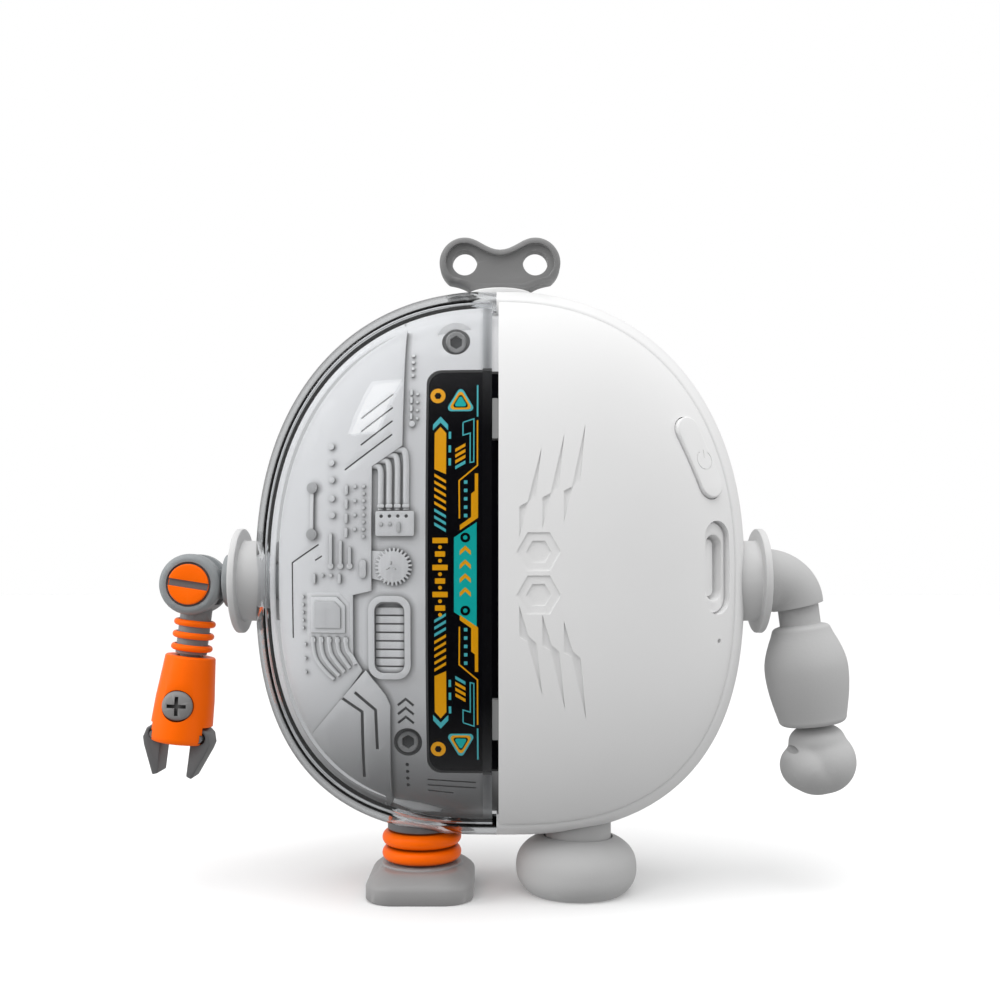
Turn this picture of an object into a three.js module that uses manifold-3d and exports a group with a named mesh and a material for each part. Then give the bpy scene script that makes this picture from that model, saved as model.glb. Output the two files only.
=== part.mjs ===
// Pebble-bodied humanoid robot, one half clear with a mechanical arm, one half white with a soft arm.
// Millimetres. +Z up, +X across the body, the face looks along -Y.
// The origin is on the floor under the body's centre.
import * as THREE from 'three';
import { mergeVertices } from 'three/addons/utils/BufferGeometryUtils.js';
import Module from 'manifold-3d';

const wasm = await Module();
wasm.setup();

// ---- driving dimensions ----
const GAP = 0.3; // clearance between neighbouring pieces
const FAR = { x: 60, y: 20, z: 100 }; // past the body on every side, for trimming blocks

// body pebble: a superellipse outline, rounded towards both poles on the Y axis
const BODY_Z = 47.5;
const BODY = { halfWidth: 36.2, upper: 41.6, lower: 38.9, halfDepth: 18 };
const OUTLINE_POWER = { upper: 2.25, lower: 2.7 };
const DEPTH_POWER = 2.4;
const PEBBLE_ROUND = 32; // facets round the outline
const PEBBLE_DEEP = 12; // facets from pole to pole
const COVER_WALL = 1.5;
const BAND_HALF = 8.1; // half width of the side band
const COVER_EDGE = 8.5; // where the front and rear covers start
const SEAM = { left: -1.1, right: -0.2 }; // the open slit between the two front covers
const SEAM_CLOSED = { left: -0.5, right: -0.2 }; // the same joint at the side bands and rear covers
const CORE_INSET = 3.4; // outside of the inner frame
const CORE_WALL = 2;
const TRIM_BOTTOM = CORE_INSET - GAP; // underside of the trim that stands on the face panel
// how far the cutting rods for the shoulders, key and hips reach, past the walls they open
const DRILL = { shoulder: 38, shoulderInner: 30, keyBottom: 80, keyTop: 95, hipBottom: 5, hipTop: 17 };
const STRIP = { width: 19.8, height: 55.6, corner: 2, top: 3.7, bottom: 4.3, pocket: 4.6 };
const CORE_PART = 0.2; // half gap between face_panel and rear_panel

const SHOULDER = { z: 46.2, face: 39.2, flange: 7.8, flangeThick: 1, boss: 6, inner: 33.3, bore: 2.9 };
const AXLE = { radius: 2.6, headRadius: 3.8, headOuter: 29.6, headInner: 28.1 };
const HIP_X = 11.7;
const HIP = { radius: 5.2, bottom: 11.1, top: 16.5, bore: 2.9, spigot: 2.6 };

// wind-up key, and the bush in the top of the body that its shaft turns in
const KEY = {
  holeX: 5.26,
  holeZ: 93.6,
  hole: 1.86,
  lobe: 3.8,
  thick: 3.6,
  neck: 4.5,
  waistZ: 95.6,
  waistBottom: 90.2,
  bottom: 89.4,
  shaft: 2,
  snap: { radius: 2.9, bottom: 81.1, top: 82.3 }, // the head below the bush that keeps the key in
};
const BUSH = { flange: 5, top: 89, step: 86.2, stem: 3.4, bottom: 82.6, bore: 2.3 };

const BUTTON = { x: 27.9, z: 63.5, length: 12.5, width: 4.6, tilt: 21, proud: 0.3, back: -1.8 };
const SWITCH = { size: 4.2, back: -6.6, gap: 0.7 };
const PORT = {
  x: 30.6,
  z: 48.1,
  length: 13.2,
  width: 5,
  slotLength: 9.2,
  slotWidth: 3.2,
  front: -1,
  depth: 9,
};
const PINHOLE = { x: 30.8, z: 37.8, width: 0.7, depth: 0.9 };

// trim on the face panel; each top is an inset from the outside of the body
const GEAR = { x: -14.5, z: 48.2, teeth: 12, root: 2.2, tip: 2.6, hub: 2.2, thick: 1.1, high: 1.5 };
const VENT = {
  x: -15.1,
  z: 38.5,
  width: 5.6,
  height: 11,
  corner: 2,
  top: 2.1,
  slats: 8,
  rim: 0.8,
  slot: 3.6,
};
const CONNECTOR = { x: -14.35, z: 54.1, width: 5.3, height: 3.4, corner: 0.3, top: 2.2 };
const CHIP = { x: -23.8, z: 41.6, width: 6.3, height: 5.9, corner: 0.4, top: 2.6, raised: 3.6, raisedTop: 2 };
const SEAM_CLIP = {
  width: 0.36,
  height: 5.4,
  corner: 0.1,
  top: 0.7,
  bottom: 3.2,
  upperZ: 68.4,
  lowerZ: 27.3,
};

const BATTERY = { width: 34, height: 44, corner: 2, front: 0.5, back: 8.5 };
const BOARD = { width: 38, height: 48, corner: 2, front: -4, back: -2.4 };

// mechanical arm; heights below the elbow are measured down the tilted forearm
const ELBOW = { x: -45.7, z: 45.7, drum: 4.5, half: 3.9, rim: 0.5, tilt: 7.3, offset: 0.7 };
const TONGUE = { half: 1.2, eye: 3.6, strap: 2.2, bore: 1.6 }; // of the upper arm, inside the elbow's fork
// the fork's wedge, in degrees, clears the tongue over its whole swing
const FORK = { slot: 1.5, room: 4, from: -42, to: 130, reach: 8 };
const ELBOW_PIN = {
  radius: 1.3,
  end: 2.6,
  head: 3,
  seat: 3.3,
  sunk: 0.7,
  proud: 0.3,
  slot: 0.7,
  slotDeep: 0.45,
};
const STUB = 3.95;
const SHAFT = { radius: 2.3, top: -2.6, step: -10.4, spigot: 1.6, bottom: -15 };
const ARM_RING = { heights: [-5.75, -7.6, -9.45], inner: 2.5, outer: 3.05, half: 0.5 };
const BARREL = { top: -10.7, bottom: -23.6, rTop: 3.66, rMid: 4.3, rLow: 4.55, bore: 1.9, boreEnd: -15.4 };
const NOTCH = { inner: 1.5, outer: 7, depth: 5, top: -20.9, height: 6 }; // where the claws enter the barrel
const BARREL_SCREW = { z: -17.9, seat: 2.4, seatFront: -3.5, back: -3.8, cross: [2.6, 0.6], crossZ: -4.6 };
const CLAW = { pivotU: 3.3, pivotZ: -22.6, half: 2.2, pin: 0.6, pinHalf: 3, through: 5 };

// soft arm; heights of the forearm and hand are measured down the tilted forearm
const SLEEVE = { pivotX: 40.7, pivotZ: 41.5, path: 4.75, pathEnd: 3.98, r0: 4.7, r1: 3.85, sweep: 77 };
const SOFT_NECK = { radius: 3, top: 3.3, spigot: 2.2, spigotTop: 5.2 };
const FORE = { x: 45.05, z: 39.5, tilt: 7.44, length: 14.8, rTop: 4.1, rMax: 6.1, rLow: 5, widestAt: 0.45 };
const WRIST = { peg: 2, socket: 2.3, deep: 3.6, pegTop: -11.6, pegBottom: -17 };

const FOOT_LEFT = {
  width: 15.6,
  depth: 18.6,
  corner: 4.2,
  edge: 2,
  top: 4.1,
  taper: 2.4,
  collar: 6,
  collarTop: 4.35,
};
const FOOT_RIGHT = { x: 11.4, halfWidth: 9, halfDepth: 9.3, centre: 3.6, halfHeight: 5.2, roundness: 0.84 };
const LEG_LEFT = { neck: 3.6, bottom: 2.2, step: 9.3, radius: 5.1, socket: 3.9, socketBottom: 1.8 };
const LEG_RIGHT = { radius: 4.9, bottom: 6.3, socket: 5.2, socketBottom: 6 };
const LEG_RING = { upperZ: 8, lowerZ: 5.7, inner: 3.9, outer: 5.9, half: 1.05 };

const degrees = THREE.MathUtils.degToRad;
const power = (v, e) => Math.sign(v) * Math.abs(v) ** e;

// ---- solids ----
function signedVolume(position, index) {
  const a = new THREE.Vector3();
  const b = new THREE.Vector3();
  const c = new THREE.Vector3();
  let sum = 0;
  for (let i = 0; i < index.count; i += 3) {
    a.fromBufferAttribute(position, index.getX(i));
    b.fromBufferAttribute(position, index.getX(i + 1));
    c.fromBufferAttribute(position, index.getX(i + 2));
    sum += a.dot(b.cross(c));
  }
  return sum / 6;
}

// A closed geometry as a manifold solid, with its faces turned outwards.
function solid(geometry) {
  const bare = geometry.clone();
  bare.deleteAttribute('normal');
  bare.deleteAttribute('uv');
  const merged = mergeVertices(bare, 1e-4);
  const index = Uint32Array.from(merged.index.array);
  if (signedVolume(merged.attributes.position, merged.index) < 0) {
    for (let i = 0; i < index.length; i += 3) {
      [index[i], index[i + 1]] = [index[i + 1], index[i]];
    }
  }
  const vertProperties = Float32Array.from(merged.attributes.position.array);
  return new wasm.Manifold(new wasm.Mesh({ numProp: 3, vertProperties, triVerts: index }));
}

function geometryOf(manifold) {
  const mesh = manifold.getMesh();
  const geometry = new THREE.BufferGeometry();
  geometry.setAttribute('position', new THREE.BufferAttribute(Float32Array.from(mesh.vertProperties), 3));
  geometry.setIndex(new THREE.BufferAttribute(Uint32Array.from(mesh.triVerts), 1));
  geometry.computeVertexNormals();
  return geometry;
}

const join = (first, ...rest) => rest.reduce((sum, piece) => sum.add(piece), first);
const cut = (first, ...rest) => rest.reduce((left, piece) => left.subtract(piece), first);

function block(x0, x1, y0, y1, z0, z1) {
  const box = new THREE.BoxGeometry(x1 - x0, y1 - y0, z1 - z0);
  return solid(box.translate((x0 + x1) / 2, (y0 + y1) / 2, (z0 + z1) / 2));
}

// Turned about +Z from [radius, height] points.
function turned(profile, segments = 16) {
  const points = profile.map(([r, z]) => new THREE.Vector2(r, z));
  return new THREE.LatheGeometry(points, segments).rotateX(Math.PI / 2);
}

function rodZ(radius, from, to, x = 0, y = 0, segments = 16) {
  return solid(turned([[0, from], [radius, from], [radius, to], [0, to]], segments).translate(x, y, 0));
}

function rodX(radius, from, to, y, z, segments = 16) {
  const rod = turned([[0, from], [radius, from], [radius, to], [0, to]], segments);
  return solid(rod.rotateY(Math.PI / 2).translate(0, y, z));
}

function rodY(radius, from, to, x, z, segments = 16) {
  const rod = turned([[0, from], [radius, from], [radius, to], [0, to]], segments);
  return solid(rod.rotateX(-Math.PI / 2).translate(x, 0, z));
}

function roundedShape(width, height, corner) {
  const w = width / 2;
  const h = height / 2;
  const shape = new THREE.Shape();
  shape.moveTo(w, corner - h);
  shape.lineTo(w, h - corner);
  shape.absarc(w - corner, h - corner, corner, 0, Math.PI / 2);
  shape.lineTo(corner - w, h);
  shape.absarc(corner - w, h - corner, corner, Math.PI / 2, Math.PI);
  shape.lineTo(-w, corner - h);
  shape.absarc(corner - w, corner - h, corner, Math.PI, 1.5 * Math.PI);
  shape.lineTo(w - corner, -h);
  shape.absarc(w - corner, corner - h, corner, 1.5 * Math.PI, 2 * Math.PI);
  return shape;
}

function outline(points) {
  return new THREE.Shape(points.map(([x, z]) => new THREE.Vector2(x, z)));
}

// A shape drawn in X and Z, given depth along Y between two planes.
function plateY(shape, y0, y1, curveSegments = 3) {
  const plate = new THREE.ExtrudeGeometry(shape, { depth: y1 - y0, bevelEnabled: false, curveSegments });
  return plate.rotateX(Math.PI / 2).translate(0, y1, 0);
}

// ---- the body pebble ----
function pebble(inset) {
  const geometry = new THREE.SphereGeometry(1, PEBBLE_ROUND, PEBBLE_DEEP);
  const position = geometry.attributes.position;
  for (let i = 0; i < position.count; i += 1) {
    const ring = Math.hypot(position.getX(i), position.getZ(i));
    const across = ring > 1e-6 ? position.getX(i) / ring : 1;
    const up = ring > 1e-6 ? position.getZ(i) / ring : 0;
    const half = up > 0 ? BODY.upper : BODY.lower;
    const bend = 2 / (up > 0 ? OUTLINE_POWER.upper : OUTLINE_POWER.lower);
    const size = power(ring, 2 / DEPTH_POWER);
    const x = size * (BODY.halfWidth - inset) * power(across, bend);
    const z = size * (half - inset) * power(up, bend);
    const y = (BODY.halfDepth - inset) * power(position.getY(i), 2 / DEPTH_POWER);
    position.setXYZ(i, x, y, z + BODY_Z);
  }
  return solid(geometry);
}

// How deep the front of the pebble stands at x and z, as a distance in front of Y = 0.
function frontDepth(x, z, inset) {
  const up = z > BODY_Z;
  const half = (up ? BODY.upper : BODY.lower) - inset;
  const bend = up ? OUTLINE_POWER.upper : OUTLINE_POWER.lower;
  const across = (Math.abs(x) / (BODY.halfWidth - inset)) ** bend;
  const ring = (across + (Math.abs(z - BODY_Z) / half) ** bend) ** (1 / bend);
  return (BODY.halfDepth - inset) * (1 - ring ** DEPTH_POWER) ** (1 / DEPTH_POWER);
}

// A frame standing on the front of the pebble: X to the right, Y up the surface, Z out of it.
function surfaceFrame(x, z, inset = 0) {
  const step = 0.05;
  const slopeX = (frontDepth(x + step, z, inset) - frontDepth(x - step, z, inset)) / (2 * step);
  const slopeZ = (frontDepth(x, z + step, inset) - frontDepth(x, z - step, inset)) / (2 * step);
  const out = new THREE.Vector3(-slopeX, -1, -slopeZ).normalize();
  const up = new THREE.Vector3(0, 0, 1).addScaledVector(out, -out.z).normalize();
  const right = new THREE.Vector3().crossVectors(up, out);
  const frame = new THREE.Matrix4().makeBasis(right, up, out);
  return frame.setPosition(x, -frontDepth(x, z, inset), z);
}

// A shape extruded along the surface's own normal, from one height to another.
function onSurface(frame, shape, from, to, turn = 0) {
  const piece = new THREE.ExtrudeGeometry(shape, { depth: to - from, bevelEnabled: false, curveSegments: 3 });
  return solid(piece.translate(0, 0, from).rotateZ(turn).applyMatrix4(frame));
}

const cache = new Map();
function pebbleAt(inset) {
  if (!cache.has(inset)) {
    cache.set(inset, pebble(inset));
  }
  return cache.get(inset);
}

function skin(top, bottom) {
  return pebbleAt(top).subtract(pebbleAt(bottom));
}

function halfSpan(side, seam) {
  return side === 'left' ? [-FAR.x, seam.left] : [seam.right, FAR.x];
}

// Trim that follows the dome: a flat shape pushed through the space between two insets.
function domeTrim(shape, x, z, top, bottom) {
  return skin(top, bottom).intersect(solid(plateY(shape, -FAR.y, -2).translate(x, 0, z)));
}

function buttonFrame() {
  return surfaceFrame(BUTTON.x, BUTTON.z);
}

function portFrame() {
  return surfaceFrame(PORT.x, PORT.z);
}

function portPrism(grow, from, to) {
  const shape = roundedShape(PORT.width + grow, PORT.length + grow, (PORT.width + grow) / 2 - 0.01);
  return onSurface(portFrame(), shape, from, to);
}

function buttonPrism(grow, from, to) {
  const width = BUTTON.width + grow;
  const shape = roundedShape(width, BUTTON.length + grow, width / 2 - 0.01);
  return onSurface(buttonFrame(), shape, from, to, degrees(BUTTON.tilt));
}

function frontCover(side) {
  const [x0, x1] = halfSpan(side, SEAM);
  const cover = skin(0, COVER_WALL).intersect(block(x0, x1, -FAR.y, -COVER_EDGE, 0, FAR.z));
  if (side === 'left') {
    return cover;
  }
  const { x, z, width, depth } = PINHOLE;
  const pinhole = onSurface(surfaceFrame(x, z), roundedShape(width, width, width / 2 - 0.01), -depth, 1);
  return cut(cover, portPrism(0, -3, 2), buttonPrism(2 * GAP, -4, 2), pinhole);
}

function rearCover(side) {
  const [x0, x1] = halfSpan(side, SEAM_CLOSED);
  return skin(0, COVER_WALL).intersect(block(x0, x1, COVER_EDGE, FAR.y, 0, FAR.z));
}

function sideBand(side) {
  const [x0, x1] = halfSpan(side, SEAM_CLOSED);
  const out = side === 'left' ? -1 : 1;
  const band = skin(0, COVER_WALL).intersect(block(x0, x1, -BAND_HALF, BAND_HALF, 0, FAR.z));
  const shoulder = [out * DRILL.shoulderInner, out * DRILL.shoulder].sort((a, b) => a - b);
  return cut(
    band,
    rodX(SHOULDER.boss + GAP, ...shoulder, 0, SHOULDER.z),
    rodZ(BUSH.flange + GAP, DRILL.keyBottom, DRILL.keyTop),
    rodZ(HIP.radius + GAP, DRILL.hipBottom, DRILL.hipTop, out * HIP_X),
  );
}

// ---- inner frame ----
const PANEL_SCREWS = [[-6.2, 79.9], [-12.8, 23.9], [12.8, 23.9], [6.2, 79.9]];
const SCREW_HEAD = { radius: 1.7, shank: 0.8, shankLong: 3, sunk: 2.2, long: 1.6, socket: 0.9, boss: 3 };

function screwSeat(x, z) {
  return -frontDepth(x, z, CORE_INSET) + SCREW_HEAD.sunk;
}

function coreOpenings(panel) {
  return cut(
    panel,
    rodX(AXLE.radius + 2 * GAP, -DRILL.shoulder, DRILL.shoulder, 0, SHOULDER.z),
    rodZ(BUSH.stem + GAP, DRILL.keyBottom, DRILL.keyTop),
    rodZ(HIP.radius + GAP, DRILL.hipBottom, DRILL.hipTop, HIP_X),
    rodZ(HIP.radius + GAP, DRILL.hipBottom, DRILL.hipTop, -HIP_X),
  );
}

function stripShape(grow) {
  return roundedShape(STRIP.width + grow, STRIP.height + grow, STRIP.corner);
}

function facePanel() {
  const front = block(-FAR.x, FAR.x, -FAR.y, -CORE_PART, 0, FAR.z);
  let panel = skin(CORE_INSET, CORE_INSET + CORE_WALL).intersect(front);
  for (const [x, z] of PANEL_SCREWS) {
    const seat = screwSeat(x, z);
    const boss = rodY(SCREW_HEAD.boss, -FAR.y, seat + 3, x, z, 12).intersect(pebbleAt(CORE_INSET));
    panel = cut(
      panel.add(boss),
      rodY(SCREW_HEAD.radius + GAP, -FAR.y, seat, x, z, 12),
      rodY(SCREW_HEAD.shank + GAP, seat - 1, seat + 4, x, z, 8),
    );
  }
  const hole = SWITCH.size + 2 * GAP;
  const switchHole = onSurface(buttonFrame(), roundedShape(hole, hole, 0.3), -8, -1);
  const pocket = domeTrim(stripShape(2 * GAP), 0, BODY_Z, 2, STRIP.pocket);
  return cut(coreOpenings(panel), portPrism(0, -10, -1), switchHole, pocket);
}

function rearPanel() {
  const rear = block(-FAR.x, FAR.x, CORE_PART, FAR.y, 0, FAR.z);
  return coreOpenings(skin(CORE_INSET, CORE_INSET + CORE_WALL).intersect(rear));
}

function panelScrew(x, z) {
  const { radius, shank, shankLong, long, socket } = SCREW_HEAD;
  const seat = screwSeat(x, z) - GAP;
  const head = rodY(radius, seat - long, seat, x, z, 12);
  const hex = rodY(socket, seat - long - 1, seat - long + 0.9, x, z, 6);
  return cut(head.add(rodY(shank, seat - 0.5, seat + shankLong, x, z, 8)), hex);
}

function displayPlate() {
  return domeTrim(stripShape(0), 0, BODY_Z, STRIP.top, STRIP.bottom);
}

function gearWheel() {
  const { x, z, teeth, root, tip, hub, thick, high } = GEAR;
  const points = [];
  for (let i = 0; i < teeth; i += 1) {
    for (const [part, radius] of [[0, root], [0.2, tip], [0.5, tip], [0.7, root]]) {
      const angle = (2 * Math.PI * (i + part)) / teeth;
      points.push([radius * Math.cos(angle), radius * Math.sin(angle)]);
    }
  }
  const frame = surfaceFrame(x, z, CORE_INSET);
  const disc = onSurface(frame, outline(points), GAP + 0.1, thick);
  return disc.add(onSurface(frame, roundedShape(hub, hub, hub / 2 - 0.01), thick - 0.2, high));
}

function ventFrame() {
  const { x, z, width, height, corner, top, slats, rim, slot } = VENT;
  const pitch = (height - 2 * rim) / slats;
  let frame = domeTrim(roundedShape(width, height, corner), x, z, top, TRIM_BOTTOM);
  for (let i = 0; i < slats; i += 1) {
    const middle = z - height / 2 + rim + (i + 0.5) * pitch;
    const opening = block(x - slot / 2, x + slot / 2, -FAR.y, 0, middle - GAP, middle + GAP);
    frame = frame.subtract(opening);
  }
  return frame;
}

function connectorBlock() {
  const { x, z, width, height, corner, top } = CONNECTOR;
  return domeTrim(roundedShape(width, height, corner), x, z, top, TRIM_BOTTOM);
}

function chipBlock() {
  const { x, z, width, height, corner, top, raised, raisedTop } = CHIP;
  const base = domeTrim(roundedShape(width, height, corner), x, z, top, TRIM_BOTTOM);
  return base.add(domeTrim(roundedShape(raised, raised, corner), x, z, raisedTop, TRIM_BOTTOM));
}

// Small block standing in the slit between the two front covers.
function seamClip(middleZ) {
  const { width, height, corner, top, bottom } = SEAM_CLIP;
  return domeTrim(roundedShape(width, height, corner), (SEAM.left + SEAM.right) / 2, middleZ, top, bottom);
}

// Flat rounded block inside the body, level with the body's centre.
function innerBlock({ width, height, corner, front, back }) {
  return solid(plateY(roundedShape(width, height, corner), front, back).translate(0, 0, BODY_Z));
}

function usbSocket() {
  const { width, length, slotWidth, slotLength, front, depth } = PORT;
  const frame = portFrame();
  const across = width - 2 * GAP;
  const shell = onSurface(frame, roundedShape(across, length - 2 * GAP, across / 2 - 0.01), -depth, front);
  const mouth = roundedShape(slotWidth, slotLength, slotWidth / 2 - 0.01);
  return shell.subtract(onSurface(frame, mouth, 1 - depth, 1));
}

function powerButton() {
  return buttonPrism(0, BUTTON.back, BUTTON.proud);
}

function powerSwitch() {
  const { size, back, gap } = SWITCH;
  return onSurface(buttonFrame(), roundedShape(size, size, 0.3), back, BUTTON.back - gap);
}

// ---- wind-up key ----
function keyBush() {
  const { flange, top, step, stem, bottom, bore } = BUSH;
  const profile = [[bore, bottom], [stem, bottom], [stem, step], [flange, step], [flange, top], [bore, top]];
  return solid(turned([...profile, profile[0]]));
}

function windKey() {
  const { holeX, holeZ, hole, lobe, thick, neck, waistZ, waistBottom, bottom, shaft, snap } = KEY;
  const half = thick / 2;
  const web = solid(plateY(roundedShape(2 * holeX, waistZ - bottom, 0.8), -half, half)
    .translate(0, 0, (waistZ + bottom) / 2));
  const waist = web.intersect(block(-holeX, holeX, -half, half, waistBottom, FAR.z));
  const stem = block(-neck, neck, -half, half, bottom, holeZ);
  const lobes = [-1, 1].map((side) => rodY(lobe, -half, half, side * holeX, holeZ, 20));
  const holes = [-1, 1].map((side) => rodY(hole, -9, 9, side * holeX, holeZ, 16));
  const rod = rodZ(shaft, snap.top - 0.5, bottom + 1).add(rodZ(snap.radius, snap.bottom, snap.top));
  return cut(join(waist, stem, ...lobes, rod), ...holes);
}

// ---- shoulders ----
function shoulderDisc() {
  const { face, flange, flangeThick, boss, inner, bore } = SHOULDER;
  const back = face - flangeThick;
  const edge = 0.3;
  const profile = [[bore, inner], [boss, inner], [boss, back], [flange - edge, back], [flange, back + edge],
    [flange, face - edge], [flange - edge, face], [bore, face]];
  return turned([...profile, profile[0]], 20);
}

function sided(geometry, out) {
  return solid(geometry.rotateY((out * Math.PI) / 2).translate(0, 0, SHOULDER.z));
}

function axle(out) {
  const { radius, headRadius, headOuter, headInner } = AXLE;
  const start = SHOULDER.face + GAP + 0.5;
  return sided(turned([[0, headInner], [headRadius - 0.8, headInner], [headRadius, headOuter - 0.7],
    [headRadius, headOuter], [radius, headOuter], [radius, start], [0, start]], 12), out);
}

// ---- mechanical arm ----
// Points and solids of the forearm are made about the elbow, then tilted outwards with it.
function atElbow(piece) {
  const place = new THREE.Matrix4().makeRotationY(degrees(ELBOW.tilt));
  place.setPosition(ELBOW.x, 0, ELBOW.z);
  return piece.applyMatrix4(place);
}

function forearmTurned(profile, segments = 16) {
  return solid(atElbow(turned(profile, segments).translate(ELBOW.offset, 0, 0)));
}

function upperArmLeft() {
  const { half, eye, strap, bore } = TONGUE;
  const end = ELBOW.x + ELBOW.drum + GAP;
  const arm = rodX(STUB, end, -SHOULDER.face - GAP, 0, SHOULDER.z);
  const bridge = block(ELBOW.x, end + 0.5, -half, half, ELBOW.z - strap, ELBOW.z + strap);
  const ring = rodY(eye, -half, half, ELBOW.x, ELBOW.z);
  return cut(join(arm, bridge, ring, axle(-1)), rodY(bore, -5, 5, ELBOW.x, ELBOW.z, 12));
}

// The wedge cut out of the elbow drum, through which the upper arm's tongue swings.
function forkWedge() {
  const { slot, from, to, reach } = FORK;
  const sector = new THREE.Shape();
  sector.moveTo(0, 0);
  sector.lineTo(reach * Math.cos(degrees(from)), reach * Math.sin(degrees(from)));
  sector.lineTo(reach + 1, reach + 1);
  sector.lineTo(reach * Math.cos(degrees(to)), reach * Math.sin(degrees(to)));
  return solid(plateY(sector, -slot, slot).translate(ELBOW.x, 0, ELBOW.z));
}

function forearmLeft() {
  const { drum, half, rim, x, z } = ELBOW;
  const wheel = turned([[0, -half], [drum - rim, -half], [drum, rim - half], [drum, half - rim],
    [drum - rim, half], [0, half]], 20);
  const { radius, top, step, spigot, bottom } = SHAFT;
  const shaft = forearmTurned([[0, bottom], [spigot, bottom], [spigot, step], [radius, step], [radius, top],
    [0, top]]);
  const body = solid(wheel.rotateX(-Math.PI / 2).translate(x, 0, z)).add(shaft);
  const room = rodY(FORK.room, -FORK.slot, FORK.slot, x, z);
  const pinHole = rodY(ELBOW_PIN.radius + GAP, -5, ELBOW_PIN.end + GAP, x, z, 12);
  return cut(body, room, forkWedge(), pinHole, rodY(ELBOW_PIN.seat, -5, ELBOW_PIN.sunk - half, x, z));
}

function elbowPin() {
  const { half, x, z } = ELBOW;
  const { radius, end, head, sunk, proud, slot, slotDeep } = ELBOW_PIN;
  const front = -half - proud;
  const cap = rodY(head, front, sunk - half - GAP, x, z, 20);
  const groove = plateY(roundedShape(8, slot, 0.05), front - 1, front + slotDeep);
  const pin = cap.add(rodY(radius, -half, end, x, z, 12));
  return cut(pin, solid(groove.rotateY(degrees(10)).translate(x, 0, z)));
}

// Half-round ring section: its flat side on the shaft, its round side out.
function ringSection({ inner, outer, half }, height) {
  const points = [[inner, height + half], [inner, height - half]];
  for (let i = 0; i <= 4; i += 1) {
    const angle = degrees(-90 + 45 * i);
    points.push([outer - half + half * Math.cos(angle), height + half * Math.sin(angle)]);
  }
  return [...points, points[0]];
}

function barrelLeft() {
  const { top, bottom, rTop, rMid, rLow, bore, boreEnd } = BARREL;
  const middle = (top + bottom) / 2;
  const can = forearmTurned([[0, boreEnd], [bore, boreEnd], [bore, top], [rTop, top],
    [(rTop + rMid) / 2 + 0.1, -14], [rMid, middle], [rLow, bottom + 0.6], [rLow - 0.3, bottom],
    [0, bottom]], 18);
  const cuts = [];
  for (const side of [-1, 1]) {
    const u = ELBOW.offset + (side * (NOTCH.inner + NOTCH.outer)) / 2;
    const notch = new THREE.BoxGeometry(NOTCH.outer - NOTCH.inner, NOTCH.depth, NOTCH.height);
    cuts.push(solid(atElbow(notch.translate(u, 0, NOTCH.top - NOTCH.height / 2))));
    cuts.push(clawRod(side, CLAW.pin + GAP, CLAW.through, 14));
  }
  const { z, seat, seatFront } = BARREL_SCREW;
  const recess = turned([[0, -6], [seat, -6], [seat, seatFront], [0, seatFront]], 16);
  cuts.push(solid(atElbow(recess.rotateX(-Math.PI / 2).translate(ELBOW.offset, 0, z))));
  return cut(can, ...cuts);
}

function barrelScrew() {
  const { z, back, cross, crossZ } = BARREL_SCREW;
  const head = turned([[0, -4.65], [0.9, -4.6], [1.7, -4.35], [2.1, -4], [2.1, back], [0, back]], 16);
  const place = (piece) => solid(atElbow(piece.translate(ELBOW.offset, 0, z)));
  const [long, wide] = cross;
  const level = place(new THREE.BoxGeometry(long, 1, wide).translate(0, crossZ, 0));
  const upright = place(new THREE.BoxGeometry(wide, 1, long).translate(0, crossZ, 0));
  return cut(place(head.rotateX(-Math.PI / 2)), level, upright);
}

function clawRod(side, radius, half, segments) {
  const rod = turned([[0, -half], [radius, -half], [radius, half], [0, half]], segments);
  const u = ELBOW.offset + side * CLAW.pivotU;
  return solid(atElbow(rod.rotateX(-Math.PI / 2).translate(u, 0, CLAW.pivotZ)));
}

// Claw outline: distance out from the forearm's axis, and height along it.
const CLAW_OUTLINE = [[2.1, -21.8], [2.1, -28.4], [2.9, -28.7], [4.7, -24.4], [5, -23.3], [4.6, -21.9],
  [3.9, -21.3], [2.5, -21.3]];

function claw(side) {
  const shape = outline(CLAW_OUTLINE.map(([u, z]) => [ELBOW.offset + side * u, z]));
  const blade = solid(atElbow(plateY(shape, -CLAW.half, CLAW.half)));
  return blade.subtract(clawRod(side, CLAW.pin + GAP, CLAW.through, 14));
}

function clawPin(side) {
  return clawRod(side, CLAW.pin, CLAW.pinHalf, 12);
}

// ---- soft arm ----
// Solids of the soft forearm are made about its top centre, hanging down, then tilted outwards.
function atSoftArm(piece) {
  const place = new THREE.Matrix4().makeRotationY(degrees(-FORE.tilt));
  place.setPosition(FORE.x, 0, FORE.z);
  return piece.applyMatrix4(place);
}

// A straight rod bent into the quarter turn of the sleeve, tapering as it goes.
function bentSleeve() {
  const { pivotX, pivotZ, path, pathEnd, r0, r1, sweep } = SLEEVE;
  const geometry = new THREE.CylinderGeometry(1, 1, 1, 16, 5);
  const position = geometry.attributes.position;
  for (let i = 0; i < position.count; i += 1) {
    const along = position.getY(i) + 0.5;
    const radius = r0 + (r1 - r0) * along;
    const reach = path + (pathEnd - path) * along + radius * position.getX(i);
    const angle = degrees(90 - sweep * along);
    const x = pivotX + reach * Math.cos(angle);
    position.setXYZ(i, x, radius * position.getZ(i), pivotZ + reach * Math.sin(angle));
  }
  return solid(geometry);
}

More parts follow.
